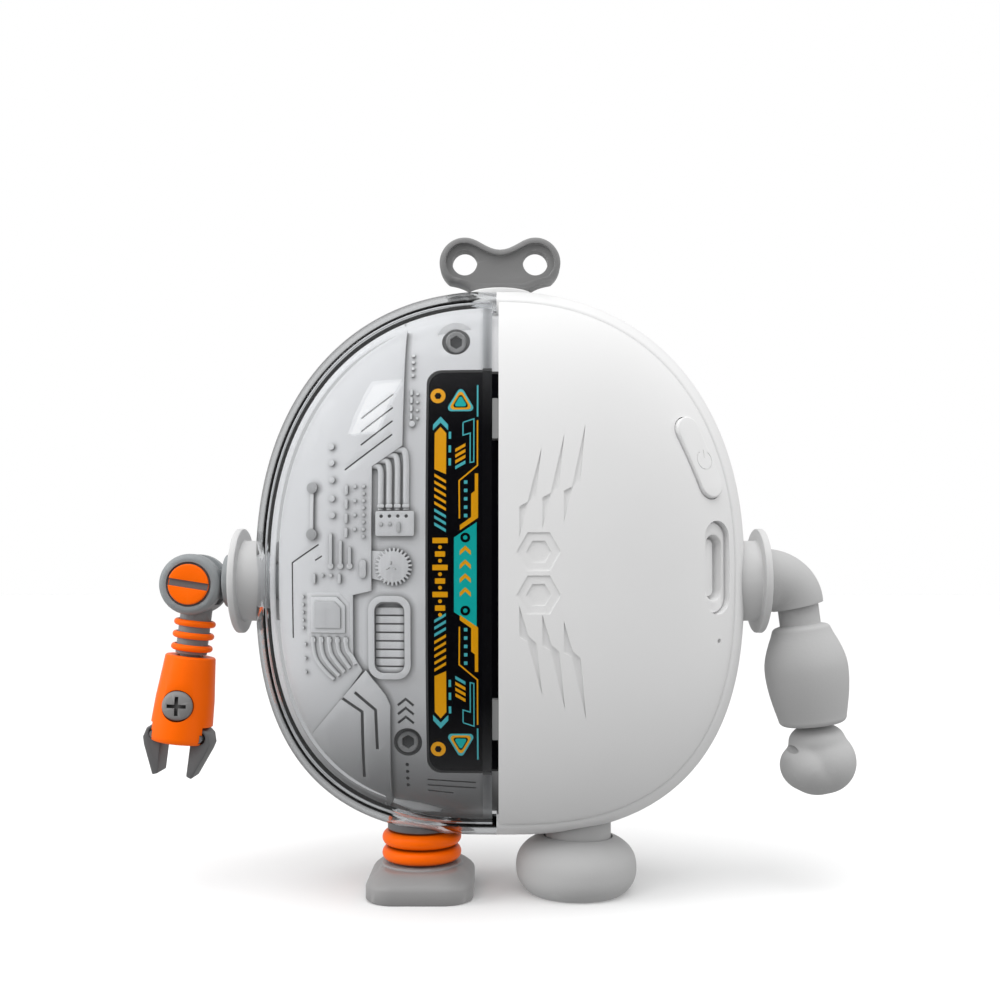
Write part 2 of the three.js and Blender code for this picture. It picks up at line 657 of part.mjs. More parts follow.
function upperArmRight() {
  const { pivotX, pivotZ, path, r0 } = SLEEVE;
  const { radius, top, spigot, spigotTop } = SOFT_NECK;
  const stub = rodX(r0, SHOULDER.face + GAP, pivotX + GAP, 0, pivotZ + path);
  const neckRoom = atSoftArm(turned([[0, 0], [radius + GAP, 0], [radius + GAP, top + GAP], [0, top + GAP]]));
  const high = spigotTop + GAP;
  const spigotRoom = atSoftArm(turned([[0, 0], [spigot + GAP, 0], [spigot + GAP, high], [0, high]]));
  return cut(join(bentSleeve(), stub, axle(1)), solid(spigotRoom), solid(neckRoom));
}

// How far the forearm swells from its end radius, at a share of its length.
function swell(share) {
  const past = share - FORE.widestAt;
  const turn = past < 0 ? past / FORE.widestAt : past / (1 - FORE.widestAt);
  return Math.cos(turn * (Math.PI / 2));
}

function forearmRight() {
  const { length, rTop, rMax, rLow, widestAt } = FORE;
  const { radius, top, spigot, spigotTop } = SOFT_NECK;
  const shoulder = [[radius, 0.2], [rTop - 0.9, 0.1], [rTop, -0.7]];
  const profile = [[0, spigotTop], [spigot, spigotTop], [spigot, top], [radius, top], ...shoulder];
  const steps = 6;
  for (let i = 1; i <= steps; i += 1) {
    const share = i / steps;
    const end = share < widestAt ? rTop : rLow;
    profile.push([end + (rMax - end) * swell(share), -0.7 - share * (length - 1.4)]);
  }
  const { socket, deep } = WRIST;
  profile.push([rLow - 0.8, -length], [socket, -length], [socket, deep - length], [0, deep - length]);
  return solid(atSoftArm(turned(profile)));
}

function ellipsoid(x, y, z, rx, ry, rz, round = 16, deep = 8) {
  return new THREE.SphereGeometry(1, round, deep).rotateX(Math.PI / 2).scale(rx, ry, rz).translate(x, y, z);
}

function handRight() {
  const fist = solid(atSoftArm(ellipsoid(0.25, 0, -20.3, 5.3, 5.3, 5.2)));
  const thumb = solid(atSoftArm(ellipsoid(-3.9, -1.2, -19, 2.3, 2.8, 3.6, 12, 6)));
  const { peg, pegTop, pegBottom } = WRIST;
  const rod = turned([[0, pegBottom], [peg, pegBottom], [peg, pegTop], [0, pegTop]], 12);
  return join(fist, thumb, solid(atSoftArm(rod)));
}

// ---- legs ----
function hipSocket(side) {
  const { radius, bottom, top, bore } = HIP;
  return rodZ(radius, bottom, top, side * HIP_X).subtract(rodZ(bore, 5, 20, side * HIP_X));
}

function legTurned(profile, x) {
  const { bottom, top, spigot } = HIP;
  const shoulder = bottom - GAP;
  const lip = spigot + 0.8;
  const tail = [[spigot, shoulder], [spigot, top + GAP], [lip, top + GAP], [lip, top + 1],
    [spigot, top + 1.8], [0, top + 1.8]];
  return solid(turned([...profile, ...tail], 16).translate(x, 0, 0));
}

function legLeft() {
  const { neck, bottom, step, radius } = LEG_LEFT;
  const peg = [[0, bottom], [neck, bottom], [neck, step]];
  return legTurned([...peg, [radius, step], [radius, HIP.bottom - GAP]], -HIP_X);
}

function footLeft() {
  const { width, depth, corner, edge, top, taper, collar, collarTop } = FOOT_LEFT;
  const spare = 4; // cut away again below the floor, where the bevel would round the sole
  const slab = new THREE.ExtrudeGeometry(roundedShape(width, depth, corner), {
    depth: edge + spare,
    bevelThickness: top - edge,
    bevelSize: taper,
    bevelOffset: -taper,
    bevelSegments: 2,
    curveSegments: 4,
  });
  const body = solid(slab.translate(-HIP_X, 0, -spare)).intersect(block(-FAR.x, FAR.x, -FAR.y, FAR.y, 0, 20));
  const hole = rodZ(LEG_LEFT.socket, LEG_LEFT.socketBottom, 9, -HIP_X);
  return cut(body.add(rodZ(collar, 3, collarTop, -HIP_X)), hole);
}

function legRight() {
  const { radius, bottom } = LEG_RIGHT;
  return legTurned([[0, bottom], [radius, bottom], [radius, HIP.bottom - GAP]], HIP_X);
}

function footRight() {
  const { x, halfWidth, halfDepth, centre, halfHeight, roundness } = FOOT_RIGHT;
  const geometry = new THREE.SphereGeometry(1, 20, 10).rotateX(Math.PI / 2);
  const position = geometry.attributes.position;
  for (let i = 0; i < position.count; i += 1) {
    const ring = Math.hypot(position.getX(i), position.getY(i));
    const size = ring > 1e-6 ? power(ring, roundness) / ring : 0;
    const across = x + halfWidth * size * position.getX(i);
    const up = centre + halfHeight * power(position.getZ(i), roundness);
    position.setXYZ(i, across, halfDepth * size * position.getY(i), up);
  }
  const body = solid(geometry).intersect(block(-FAR.x, FAR.x, -FAR.y, FAR.y, 0, 20));
  return body.subtract(rodZ(LEG_RIGHT.socket, LEG_RIGHT.socketBottom, 20, HIP_X));
}

// ---- looks and assembly ----
function finish(color, roughness, metalness = 0) {
  return new THREE.MeshStandardMaterial({ color, roughness, metalness });
}

const CLEAR = finish(0xdfe3e6, 0.08);
CLEAR.transparent = true;
CLEAR.opacity = 0.3;

const FINISHES = {
  clear: CLEAR,
  white: finish(0xe9e9e9, 0.55),
  panel: finish(0xc4c5c6, 0.5),
  strip: finish(0x14121e, 0.35),
  steel: finish(0x8d8e90, 0.35, 0.8),
  key: finish(0x767676, 0.45, 0.2),
  dark: finish(0x696767, 0.5),
  claw: finish(0x424142, 0.5),
  orange: finish(0xf66a03, 0.4),
  soft: finish(0xa8a8a8, 0.7),
  board: finish(0x24503a, 0.5),
};

const group = new THREE.Group();

function add(name, look, shape) {
  const geometry = shape.isBufferGeometry ? geometryOf(solid(shape)) : geometryOf(shape);
  const mesh = new THREE.Mesh(geometry, FINISHES[look]);
  mesh.name = name;
  group.add(mesh);
}

function addBody() {
  for (const [side, look] of [['left', 'clear'], ['right', 'white']]) {
    add(`front_cover_${look}`, look, frontCover(side));
    add(`side_band_${look}`, look, sideBand(side));
    add(`rear_cover_${look}`, look, rearCover(side));
  }
  add('face_panel', 'panel', facePanel());
  add('rear_panel', 'panel', rearPanel());
  add('display_plate', 'strip', displayPlate());
  add('seam_clip_upper', 'key', seamClip(SEAM_CLIP.upperZ));
  add('seam_clip_lower', 'key', seamClip(SEAM_CLIP.lowerZ));
  PANEL_SCREWS.forEach(([x, z], i) => add(`panel_screw_${i + 1}`, 'steel', panelScrew(x, z)));
}

function addInside() {
  add('gear_wheel', 'panel', gearWheel());
  add('vent_frame', 'panel', ventFrame());
  add('connector_block', 'panel', connectorBlock());
  add('chip_block', 'panel', chipBlock());
  add('battery_cell', 'steel', innerBlock(BATTERY));
  add('main_board', 'board', innerBlock(BOARD));
  add('usb_socket', 'white', usbSocket());
  add('power_switch', 'claw', powerSwitch());
  add('power_button', 'white', powerButton());
  add('key_bush', 'white', keyBush());
  add('wind_key', 'key', windKey());
}

function addLeftArm() {
  add('shoulder_disc_left', 'white', sided(shoulderDisc(), -1));
  add('upper_arm_left', 'dark', upperArmLeft());
  add('forearm_left', 'dark', forearmLeft());
  add('elbow_pin_left', 'orange', elbowPin());
  ARM_RING.heights.forEach((height, i) => {
    add(`forearm_ring_${i + 1}`, 'orange', forearmTurned(ringSection(ARM_RING, height), 14));
  });
  add('barrel_left', 'orange', barrelLeft());
  add('barrel_screw_left', 'key', barrelScrew());
  add('claw_outer', 'claw', claw(-1));
  add('claw_inner', 'claw', claw(1));
  add('claw_pin_outer', 'steel', clawPin(-1));
  add('claw_pin_inner', 'steel', clawPin(1));
}

function addRightArm() {
  add('shoulder_disc_right', 'white', sided(shoulderDisc(), 1));
  add('upper_arm_right', 'soft', upperArmRight());
  add('forearm_right', 'soft', forearmRight());
  add('hand_right', 'soft', handRight());
}

function addLegs() {
  add('hip_socket_left', 'white', hipSocket(-1));
  add('hip_socket_right', 'white', hipSocket(1));
  add('leg_left', 'dark', legLeft());
  for (const [name, height] of [['upper', LEG_RING.upperZ], ['lower', LEG_RING.lowerZ]]) {
    const ring = turned(ringSection(LEG_RING, height), 20);
    add(`leg_ring_${name}`, 'orange', ring.translate(-HIP_X, 0, 0));
  }
  add('foot_left', 'dark', footLeft());
  add('leg_right', 'soft', legRight());
  add('foot_right', 'soft', footRight());
}

addBody();
addInside();
addLeftArm();
addRightArm();
addLegs();

export default group;
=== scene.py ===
"""Pebble-bodied robot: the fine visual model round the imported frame, with its camera, floor and lights."""
import math

import bmesh
import bpy
from mathutils import Matrix, Vector


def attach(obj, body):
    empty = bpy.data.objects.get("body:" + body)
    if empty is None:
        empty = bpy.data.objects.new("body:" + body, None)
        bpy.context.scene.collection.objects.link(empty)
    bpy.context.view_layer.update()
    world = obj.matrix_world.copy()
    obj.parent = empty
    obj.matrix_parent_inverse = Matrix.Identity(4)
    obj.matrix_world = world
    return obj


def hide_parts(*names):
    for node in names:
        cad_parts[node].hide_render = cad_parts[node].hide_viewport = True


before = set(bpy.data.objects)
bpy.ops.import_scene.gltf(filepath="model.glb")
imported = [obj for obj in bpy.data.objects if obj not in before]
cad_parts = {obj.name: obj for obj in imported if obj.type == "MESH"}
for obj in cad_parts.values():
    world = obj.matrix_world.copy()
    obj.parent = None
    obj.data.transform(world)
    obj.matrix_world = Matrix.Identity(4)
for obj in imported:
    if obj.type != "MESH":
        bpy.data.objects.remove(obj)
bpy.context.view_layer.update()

# ---- driving dimensions, in millimetres as in the CAD ----
MM = 0.001
BODY_Z = 47.5
HALF_WIDTH, UPPER, LOWER, HALF_DEPTH = 36.2, 41.6, 38.9, 18.0
UPPER_POWER, LOWER_POWER, DEPTH_POWER = 2.25, 2.7, 2.4
COVER_WALL, COVER_EDGE, BAND_HALF = 1.5, 8.5, 8.1
CORE_INSET, CORE_WALL = 3.4, 2.0
SEAM_LEFT, SEAM_RIGHT, SEAM_CLOSED = -1.1, -0.2, -0.5
STRIP_TOP, STRIP_BOTTOM = 3.7, 4.3
PLATE_TOP = 2.65  # inset of the raised plates on the face panel

SHOULDER_Z, HIP_X = 46.2, 11.7
SHOULDER_HOLE, KEY_HOLE, HIP_HOLE = 6.3, 5.3, 5.5  # radii of the holes through the side bands
FRAME_SHOULDER_HOLE, FRAME_KEY_HOLE = 3.2, 3.7  # and through the inner frame

ELBOW = Vector((-45.7, 0, 45.7))
ELBOW_TILT, FOREARM_OFFSET = 7.3, 0.7
FORE_TOP, FORE_TILT = Vector((45.05, 0, 39.5)), -7.44

# centres on the front, and sizes as (width, height, corner)
BUTTON_X, BUTTON_Z, BUTTON_TILT = 27.9, 63.5, 21
BUTTON_HOLE, BUTTON_PILL = (4.4, 12.4, 2.19), (4.1, 12.1, 2.04)
PORT_X, PORT_Z = 30.6, 48.1
PORT_HOLE, PORT_LINER, PORT_MOUTH = (5.0, 13.2, 2.49), (4.4, 12.6, 2.19), (3.2, 9.2, 1.59)
PINHOLE_X, PINHOLE_Z, PINHOLE_RADIUS = 30.8, 37.8, 0.35
HEXAGON_X, HEXAGON_HEIGHTS = 5.2, (50.2, 44.4)
STRIP_WINDOW, STRIP_SIZE = (20.4, 56.2, 2), (19.8, 55.6, 2)
VENT_X, VENT_Z = -15.1, 38.5
GEAR_X, GEAR_Z = -14.5, 48.2
CONNECTOR_X, CONNECTOR_Z = -14.35, 54.1
CHIP_X, CHIP_Z = -23.75, 41.55


def power(value, exponent):
    return math.copysign(abs(value) ** exponent, value)


# ---- the pebble: superellipse outline and depth ----
def outline(phi, inset):
    up = math.sin(phi)
    half, bend = (UPPER, UPPER_POWER) if up > 0 else (LOWER, LOWER_POWER)
    return (HALF_WIDTH - inset) * power(math.cos(phi), 2 / bend), (half - inset) * power(up, 2 / bend)


def ring_scale(inset, y):
    share = min(1.0, abs(y) / (HALF_DEPTH - inset))
    return (1 - share ** DEPTH_POWER) ** (1 / DEPTH_POWER)


def front(x, z, inset):
    """Y of the front of the pebble at that inset."""
    half, bend = (UPPER, UPPER_POWER) if z > BODY_Z else (LOWER, LOWER_POWER)
    across = (abs(x) / (HALF_WIDTH - inset)) ** bend + (abs(z - BODY_Z) / (half - inset)) ** bend
    ring = min(0.9999, across ** (1 / bend))
    return -(HALF_DEPTH - inset) * (1 - ring ** DEPTH_POWER) ** (1 / DEPTH_POWER)


def surface_frame(x, z, inset=0.0):
    """X to the right, Y up the surface, Z out of it."""
    step = 0.05
    slope_x = (front(x + step, z, inset) - front(x - step, z, inset)) / (2 * step)
    slope_z = (front(x, z + step, inset) - front(x, z - step, inset)) / (2 * step)
    out = Vector((slope_x, -1, slope_z)).normalized()
    up = (Vector((0, 0, 1)) - out * out.z).normalized()
    right = up.cross(out)
    place = Matrix((right, up, out)).transposed().to_4x4()
    place.translation = Vector((x, front(x, z, inset), z))
    return place


# ---- flat outlines, as lists of (x, y) ----
def arc(cx, cy, radius, start, end, steps=8):
    angles = [math.radians(start + (end - start) * i / steps) for i in range(steps + 1)]
    return [(cx + radius * math.cos(a), cy + radius * math.sin(a)) for a in angles]


def circle(cx, cy, radius, steps=20):
    return arc(cx, cy, radius, 0, 360 - 360 / steps, steps - 1)


def rounded(width, height, corner, cx=0.0, cy=0.0, steps=6):
    w, h = width / 2 - corner, height / 2 - corner
    points = []
    for sx, sy, start in ((1, 1, 0), (-1, 1, 90), (-1, -1, 180), (1, -1, 270)):
        points += arc(cx + sx * w, cy + sy * h, corner, start, start + 90, steps)
    return points


def stroke(points, width):
    """The outline of a line of that width along the points."""
    left, right = [], []
    for i, here in enumerate(points):
        before = points[max(i - 1, 0)]
        after = points[min(i + 1, len(points) - 1)]
        a = (Vector(here) - Vector(before)).normalized() if i else None
        b = (Vector(after) - Vector(here)).normalized() if i < len(points) - 1 else None
        a, b = a or b, b or a
        normal = Vector((-(a + b).y, (a + b).x)).normalized()
        reach = width / 2 / max(0.4, normal.dot(Vector((-a.y, a.x))))
        left.append(tuple(Vector(here) + normal * reach))
        right.append(tuple(Vector(here) - normal * reach))
    return left + right[::-1]


def mirrored(points, middle):
    return [(x, 2 * middle - z) for x, z in points][::-1]


# ---- meshes, in millimetres until they become objects ----
def prism(mesh, points, place, low, high):
    """A flat outline extruded along the placed frame's Z."""
    rings = [[mesh.verts.new(place @ Vector((x, y, h))) for x, y in points] for h in (low, high)]
    mesh.faces.new(rings[0][::-1])
    mesh.faces.new(rings[1])
    for i in range(len(points)):
        j = (i + 1) % len(points)
        mesh.faces.new((rings[0][i], rings[0][j], rings[1][j], rings[1][i]))


def along_y(x=0.0, z=0.0, y=0.0):
    """A frame whose X and Y are the world's X and Z, and whose Z looks to the front."""
    return Matrix.Translation((x, y, z)) @ Matrix.Rotation(math.pi / 2, 4, "X")


def turned(mesh, profile, place=Matrix.Identity(4), steps=48):
    """A closed solid turned about the frame's Z from (radius, height) points that start and end on it."""
    rings = []
    for radius, height in profile:
        if radius < 1e-6:
            rings.append([mesh.verts.new(place @ Vector((0, 0, height)))])
            continue
        angles = [2 * math.pi * i / steps for i in range(steps)]
        rings.append([mesh.verts.new(place @ Vector((radius * math.cos(a), radius * math.sin(a), height)))
                      for a in angles])
    pairs = list(zip(rings, rings[1:]))
    if profile[0][0] > 1e-6:
        pairs.append((rings[-1], rings[0]))
    for a, b in pairs:
        for i in range(steps):
            j = (i + 1) % steps
            corners = [a[i % len(a)], a[j % len(a)], b[j % len(b)], b[i % len(b)]]
            corners = [v for k, v in enumerate(corners) if v not in corners[:k]]
            if len(corners) > 2:
                mesh.faces.new(corners)


def soft_edge(profile, radius, steps=3):
    """The profile with its corners rounded, all but its first and last points."""
    out = [profile[0]]
    for before, here, after in zip(profile, profile[1:], profile[2:]):
        here = Vector(here)
        a, b = Vector(before) - here, Vector(after) - here
        reach = min(radius, a.length * 0.45, b.length * 0.45)
        start, end = here + a.normalized() * reach, here + b.normalized() * reach
        for i in range(steps + 1):
            t = i / steps
            out.append(tuple(start * (1 - t) ** 2 + here * 2 * t * (1 - t) + end * t * t))
    return out + [profile[-1]]


def draped(mesh, points, top, bottom, step=1.4):
    """A flat outline laid over the front of the pebble, its top at one inset and its underside at another."""
    flat = bmesh.new()
    flat.faces.new([flat.verts.new((x, 0, z)) for x, z in points])
    for axis in (0, 1):
        values = [p[axis] for p in points]
        at = math.ceil(min(values) / step) * step
        while at < max(values):
            normal = Vector((1, 0, 0)) if axis == 0 else Vector((0, 0, 1))
            bmesh.ops.bisect_plane(flat, geom=flat.verts[:] + flat.edges[:] + flat.faces[:], dist=1e-4,
                                   plane_co=normal * at, plane_no=normal)
            at += step
    flat.verts.index_update()
    layers = []
    for inset in (top, bottom):
        layers.append([mesh.verts.new((v.co.x, front(v.co.x, v.co.z, inset), v.co.z)) for v in flat.verts])
    for face in flat.faces:
        ids = [v.index for v in face.verts]
        mesh.faces.new([layers[0][i] for i in ids])
        mesh.faces.new([layers[1][i] for i in ids[::-1]])
    for edge in flat.edges:
        if edge.is_boundary:
            a, b = edge.verts[0].index, edge.verts[1].index
            mesh.faces.new((layers[0][a], layers[0][b], layers[1][b], layers[1][a]))
    flat.free()


def pebble_wall(mesh, outer, inner, start, end, steps, seam=None, side=0):
    """A wall of the pebble from two equal lists of (inset, y), run round the outline between two angles."""
    pool = {}

    def vertex(phi, inset, y):
        across, up = outline(phi, inset)
        scale = ring_scale(inset, y)
        x = across * scale
        if seam is not None:
            x = seam + x * (1 - seam * side / HALF_WIDTH)
        key = (round(x, 4), round(y, 4), round(up * scale, 4))
        if key not in pool:
            pool[key] = mesh.verts.new((x, y, BODY_Z + up * scale))
        return pool[key]

    def quad(*corners):
        corners = [v for k, v in enumerate(corners) if v not in corners[:k]]
        if len(corners) > 2 and not mesh.faces.get(corners):
            mesh.faces.new(corners)

    rows = []
    for i in range(steps + 1):
        phi = math.radians(start + (end - start) * i / steps)
        rows.append([[vertex(phi, inset, y) for inset, y in line] for line in (outer, inner)])
    last = len(outer) - 1
    for (out_a, in_a), (out_b, in_b) in zip(rows, rows[1:]):
        for k in range(last):
            quad(out_a[k], out_a[k + 1], out_b[k + 1], out_b[k])
            quad(in_a[k + 1], in_a[k], in_b[k], in_b[k + 1])
        quad(out_a[last], in_a[last], in_b[last], out_b[last])
        quad(in_a[0], out_a[0], out_b[0], in_b[0])
    if end - start < 359:
        for out_line, in_line in (rows[0], rows[-1]):
            for k in range(last):
                quad(out_line[k], out_line[k + 1], in_line[k + 1], in_line[k])


def dome_profiles(inset, wall, edge, sign, steps=34, round_off=0.22):
    """Outer and inner section of a front (sign -1) or rear (+1) dome from its pole to its rim."""
    lists = []
    for level in (inset, inset + wall):
        depth = HALF_DEPTH - level
        limit = math.acos(min(1.0, ((edge + round_off) / depth) ** (DEPTH_POWER / 2)))
        heights = [depth * math.cos(limit * i / steps) ** (2 / DEPTH_POWER) for i in range(steps + 1)]
        lists.append([(level, sign * h) for h in heights])
    near = round_off * 0.3
    lists[0] += [(inset + near, sign * (edge + near)), (inset + round_off, sign * edge)]
    lists[1] += [(inset + wall - near, sign * (edge + near)), (inset + wall - round_off, sign * edge)]
    return lists


def band_profiles(steps=16, round_off=0.22):
    near = round_off * 0.3
    flat = BAND_HALF - round_off
    lists = []
    for level, sign in ((0, 1), (COVER_WALL, -1)):
        ends = [(level + sign * round_off, BAND_HALF), (level + sign * near, BAND_HALF - near)]
        line = [(level, -flat + 2 * flat * i / steps) for i in range(steps + 1)]
        lists.append([(a, -b) for a, b in ends] + line + ends[::-1])
    return lists


# ---- objects ----
def make(name, mesh, finish, angle=35):
    """Turns a bmesh in millimetres into an object in metres."""
    bmesh.ops.recalc_face_normals(mesh, faces=mesh.faces[:])
    data = bpy.data.meshes.new(name)
    mesh.to_mesh(data)
    mesh.free()
    data.transform(Matrix.Scale(MM, 4))
    piece = bpy.data.objects.new(name, data)
    bpy.context.scene.collection.objects.link(piece)
    if finish:
        data.materials.append(finish)
    shade(piece, angle)
    return piece


def shade(piece, angle=35):
    piece.data.shade_smooth()
    piece.data.set_sharp_from_angle(angle=math.radians(angle))


def bake(piece, angle=35):
    """Applies the piece's modifiers."""
    bpy.context.view_layer.update()
    graph = bpy.context.evaluated_depsgraph_get()
    data = bpy.data.meshes.new_from_object(piece.evaluated_get(graph))
    piece.modifiers.clear()
    piece.data = data
    shade(piece, angle)


def carve(piece, cutter_mesh, operation="DIFFERENCE", angle=35):
    cutter = make("cutter", cutter_mesh, None)
    modifier = piece.modifiers.new("cut", "BOOLEAN")
    modifier.object, modifier.operation, modifier.solver = cutter, operation, "EXACT"
    bake(piece, angle)
    bpy.data.objects.remove(cutter, do_unlink=True)


def soften(piece, width, segments=2, angle=40, shade_angle=60):
    modifier = piece.modifiers.new("edges", "BEVEL")
    modifier.width, modifier.segments = width * MM, segments
    modifier.limit_method, modifier.angle_limit = "ANGLE", math.radians(angle)
    modifier.use_clamp_overlap = True
    bake(piece, shade_angle)


def settle(piece, body, slot, *nodes):
    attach(piece, body)
    if nodes:
        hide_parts(*nodes)
    return piece


def upright(x):
    return Matrix.Translation((x, 0, 0))


def lathe(name, profile, place, finish, body, slot, *nodes, angle=35, steps=48):
    """A turned piece, made and settled in one go."""
    mesh = bmesh.new()
    turned(mesh, profile, place, steps)
    return settle(make(name, mesh, finish, angle), body, slot, *nodes)


def laid(mesh, outlines, top, bottom, step=3):
    """Several flat outlines laid on the pebble at the same depth."""
    for points in outlines:
        draped(mesh, points, top, bottom, step)


def tubes(name, paths, radius, finish):
    """Round pipes along lists of points in millimetres."""
    data = bpy.data.curves.new(name, "CURVE")
    data.dimensions, data.bevel_depth, data.bevel_resolution, data.use_fill_caps = "3D", radius * MM, 4, True
    for path in paths:
        spline = data.splines.new("POLY")
        spline.points.add(len(path) - 1)
        for point, place in zip(spline.points, path):
            point.co = (*[c * MM for c in place], 1)
    curve = bpy.data.objects.new(name, data)
    bpy.context.scene.collection.objects.link(curve)
    bpy.context.view_layer.update()
    mesh = bpy.data.meshes.new_from_object(curve.evaluated_get(bpy.context.evaluated_depsgraph_get()))
    bpy.data.objects.remove(curve, do_unlink=True)
    weld = bmesh.new()
    weld.from_mesh(mesh)
    bmesh.ops.remove_doubles(weld, verts=weld.verts[:], dist=0.001 * MM)
    weld.to_mesh(mesh)
    weld.free()
    mesh.materials.clear()
    mesh.materials.append(finish)
    piece = bpy.data.objects.new(name, mesh)
    bpy.context.scene.collection.objects.link(piece)
    shade(piece, 50)
    return piece


# ---- materials ----
def srgb(r, g, b):
    def linear(v):
        v /= 255
        return v / 12.92 if v <= 0.04045 else ((v + 0.055) / 1.055) ** 2.4
    return linear(r), linear(g), linear(b), 1.0


def feed(tree, made, values):
    """Sets each named socket of a shader node, or links it where the value is another node's output."""
    for name, value in values.items():
        socket = made.inputs[name.replace("_", " ")]
        if isinstance(value, bpy.types.NodeSocket):
            tree.links.new(value, socket)
        else:
            socket.default_value = value


def node(tree, kind, setup=None, **values):
    made = tree.nodes.new("ShaderNode" + kind)
    for name, value in (setup or {}).items():
        setattr(made, name, value)
    feed(tree, made, values)
    return made


def noise(tree, scale, detail=3.0):
    place = node(tree, "TexCoord").outputs["Object"]
    return node(tree, "TexNoise", Vector=place, Scale=scale, Detail=detail).outputs["Fac"]


def ranged(tree, value, start, end, low, high, **setup):
    """Maps the value's range from start to end onto low to high."""
    made = node(tree, "MapRange", setup, Value=value, From_Min=start, From_Max=end, To_Min=low, To_Max=high)
    return made.outputs["Result"]


def blended(tree, factor, a, b, blend="MIX"):
    setup = {"data_type": "RGBA", "blend_type": blend}
    return node(tree, "Mix", setup, Factor=factor, A=a, B=b).outputs["Result"]


def drift(tree, amount, low, high, start=0.0, end=1.0):
    """A colour that runs from low to high with the amount."""
    ramp = node(tree, "ValToRGB", Fac=amount)
    for stop, position, colour in zip(ramp.color_ramp.elements, (start, end), (low, high)):
        stop.position, stop.color = position, (*colour[:3], 1)
    return ramp.outputs["Color"]


CLOUD = (0.3, 0.7)  # the range that a noise mostly keeps to
PATCHES, GRAIN = 90, 2600  # noise scales of the colour drift and of the surface grain
# the second reach is how far the painted corner shade looks for nearby surfaces
GRAIN_HEIGHT, CORNER_SHADE_REACH = 0.00006, 0.0009  # metres
EDGE = (0.53, 0.62)  # pointiness of an edge, from barely to fully worn


def plastic(name, colour, rough=0.45, mottle=0.05, grain=0.12, wear=0.25, corner_shade=0.0, bottom_shade=None, painted_glow=0.0,
            **shader):
    """Moulded plastic: slight colour drift, uneven gloss, fine grain and edges rubbed a little paler.

    A corner shade value paints shade into the corners and creases, a bottom shade paints shade over the piece
    toward its bottom between two heights, and a glow is painted light: the piece gives off its own colour to
    look brighter, as if giving back the light that clear plastic in front of it holds off.
    """
    finish = bpy.data.materials.new(name)
    finish.use_nodes = True
    tree = finish.node_tree
    out = tree.nodes["Principled BSDF"]
    base = Vector(colour[:3])
    paler = [min(1.0, c * (1 + mottle)) for c in base]
    rubbed = (*[min(1.0, c * 1.5 + 0.03) for c in base], 1)
    tinted = drift(tree, noise(tree, PATCHES), base * (1 - mottle), paler, *CLOUD)
    pointed = node(tree, "NewGeometry").outputs["Pointiness"]
    tinted = blended(tree, ranged(tree, pointed, *EDGE, 0, wear), tinted, rubbed)
    # painted shade: ambient occlusion darkens the colour in corners and creases
    if corner_shade:
        light = node(tree, "AmbientOcclusion", Distance=CORNER_SHADE_REACH).outputs["AO"]
        tinted = blended(tree, 1.0, tinted, ranged(tree, light, 0.3, 1, 1 - corner_shade, 1), "MULTIPLY")
    # painted shade: the colour darkens toward the piece's bottom, between the two heights
    if bottom_shade:
        split = node(tree, "SeparateXYZ", Vector=node(tree, "TexCoord").outputs["Object"])
        height = ranged(tree, split.outputs["Z"], *bottom_shade, 0, 1, interpolation_type="SMOOTHSTEP")
        tinted = blended(tree, 1.0, tinted, ranged(tree, height, 0, 1, 0.03, 1), "MULTIPLY")
    # painted light: the piece glows in its own colour
    if painted_glow:
        shader = {**shader, "Emission_Color": tinted, "Emission_Strength": painted_glow}
    gloss = ranged(tree, noise(tree, PATCHES * 3), *CLOUD, rough - 0.04, rough + 0.05)
    bump = node(tree, "Bump", Strength=grain, Distance=GRAIN_HEIGHT, Height=noise(tree, GRAIN, 2.0))
    feed(tree, out, {"Base_Color": tinted, "Roughness": gloss, "Normal": bump.outputs["Normal"], **shader})
    return finish


def clear_plastic(name, tint, rough=0.02, ior=1.46):
    """Polished clear plastic that refracts what is seen and lets the lamps light what is behind it."""
    finish = bpy.data.materials.new(name)
    finish.use_nodes = True
    tree = finish.node_tree
    tree.nodes.remove(tree.nodes["Principled BSDF"])
    colour = drift(tree, noise(tree, 40), [c * 0.985 for c in tint[:3]], tint)
    haze = ranged(tree, noise(tree, 160), *CLOUD, rough * 0.5, rough * 1.5)
    glass = node(tree, "BsdfGlass", IOR=ior, Color=colour, Roughness=haze)
    through = node(tree, "BsdfTransparent", Color=(0.96, 0.965, 0.97, 1))
    both = node(tree, "MixShader", Fac=node(tree, "LightPath").outputs["Is Shadow Ray"])
    tree.links.new(glass.outputs["BSDF"], both.inputs[1])
    tree.links.new(through.outputs["BSDF"], both.inputs[2])
    tree.links.new(both.outputs["Shader"], tree.nodes["Material Output"].inputs["Surface"])
    return finish


# The shoulder discs' white plastic made darker: painted shade.
SHADED_FLANGE = plastic("flange_white_shaded", srgb(215, 215, 215), rough=0.4, mottle=0.01, grain=0.1, wear=0.1)
CLEAR = clear_plastic("clear_case", (0.975, 0.98, 0.985, 1))
WHITE = plastic("white_case", srgb(238, 238, 238), rough=0.42, mottle=0.008, grain=0.10, wear=0.1)
# The panel gets painted shade in its corners and toward its bottom, and a painted glow.
PANEL = plastic("panel_grey", srgb(220, 220, 221), rough=0.42, mottle=0.02, grain=0.14, wear=0.15,
                corner_shade=0.8, bottom_shade=(0.0095, 0.037), painted_glow=0.27)
NAVY = plastic("strip_ground", srgb(4, 3, 9), rough=0.5, mottle=0.15, grain=0.03, wear=0.0,
               Specular_IOR_Level=0.1)
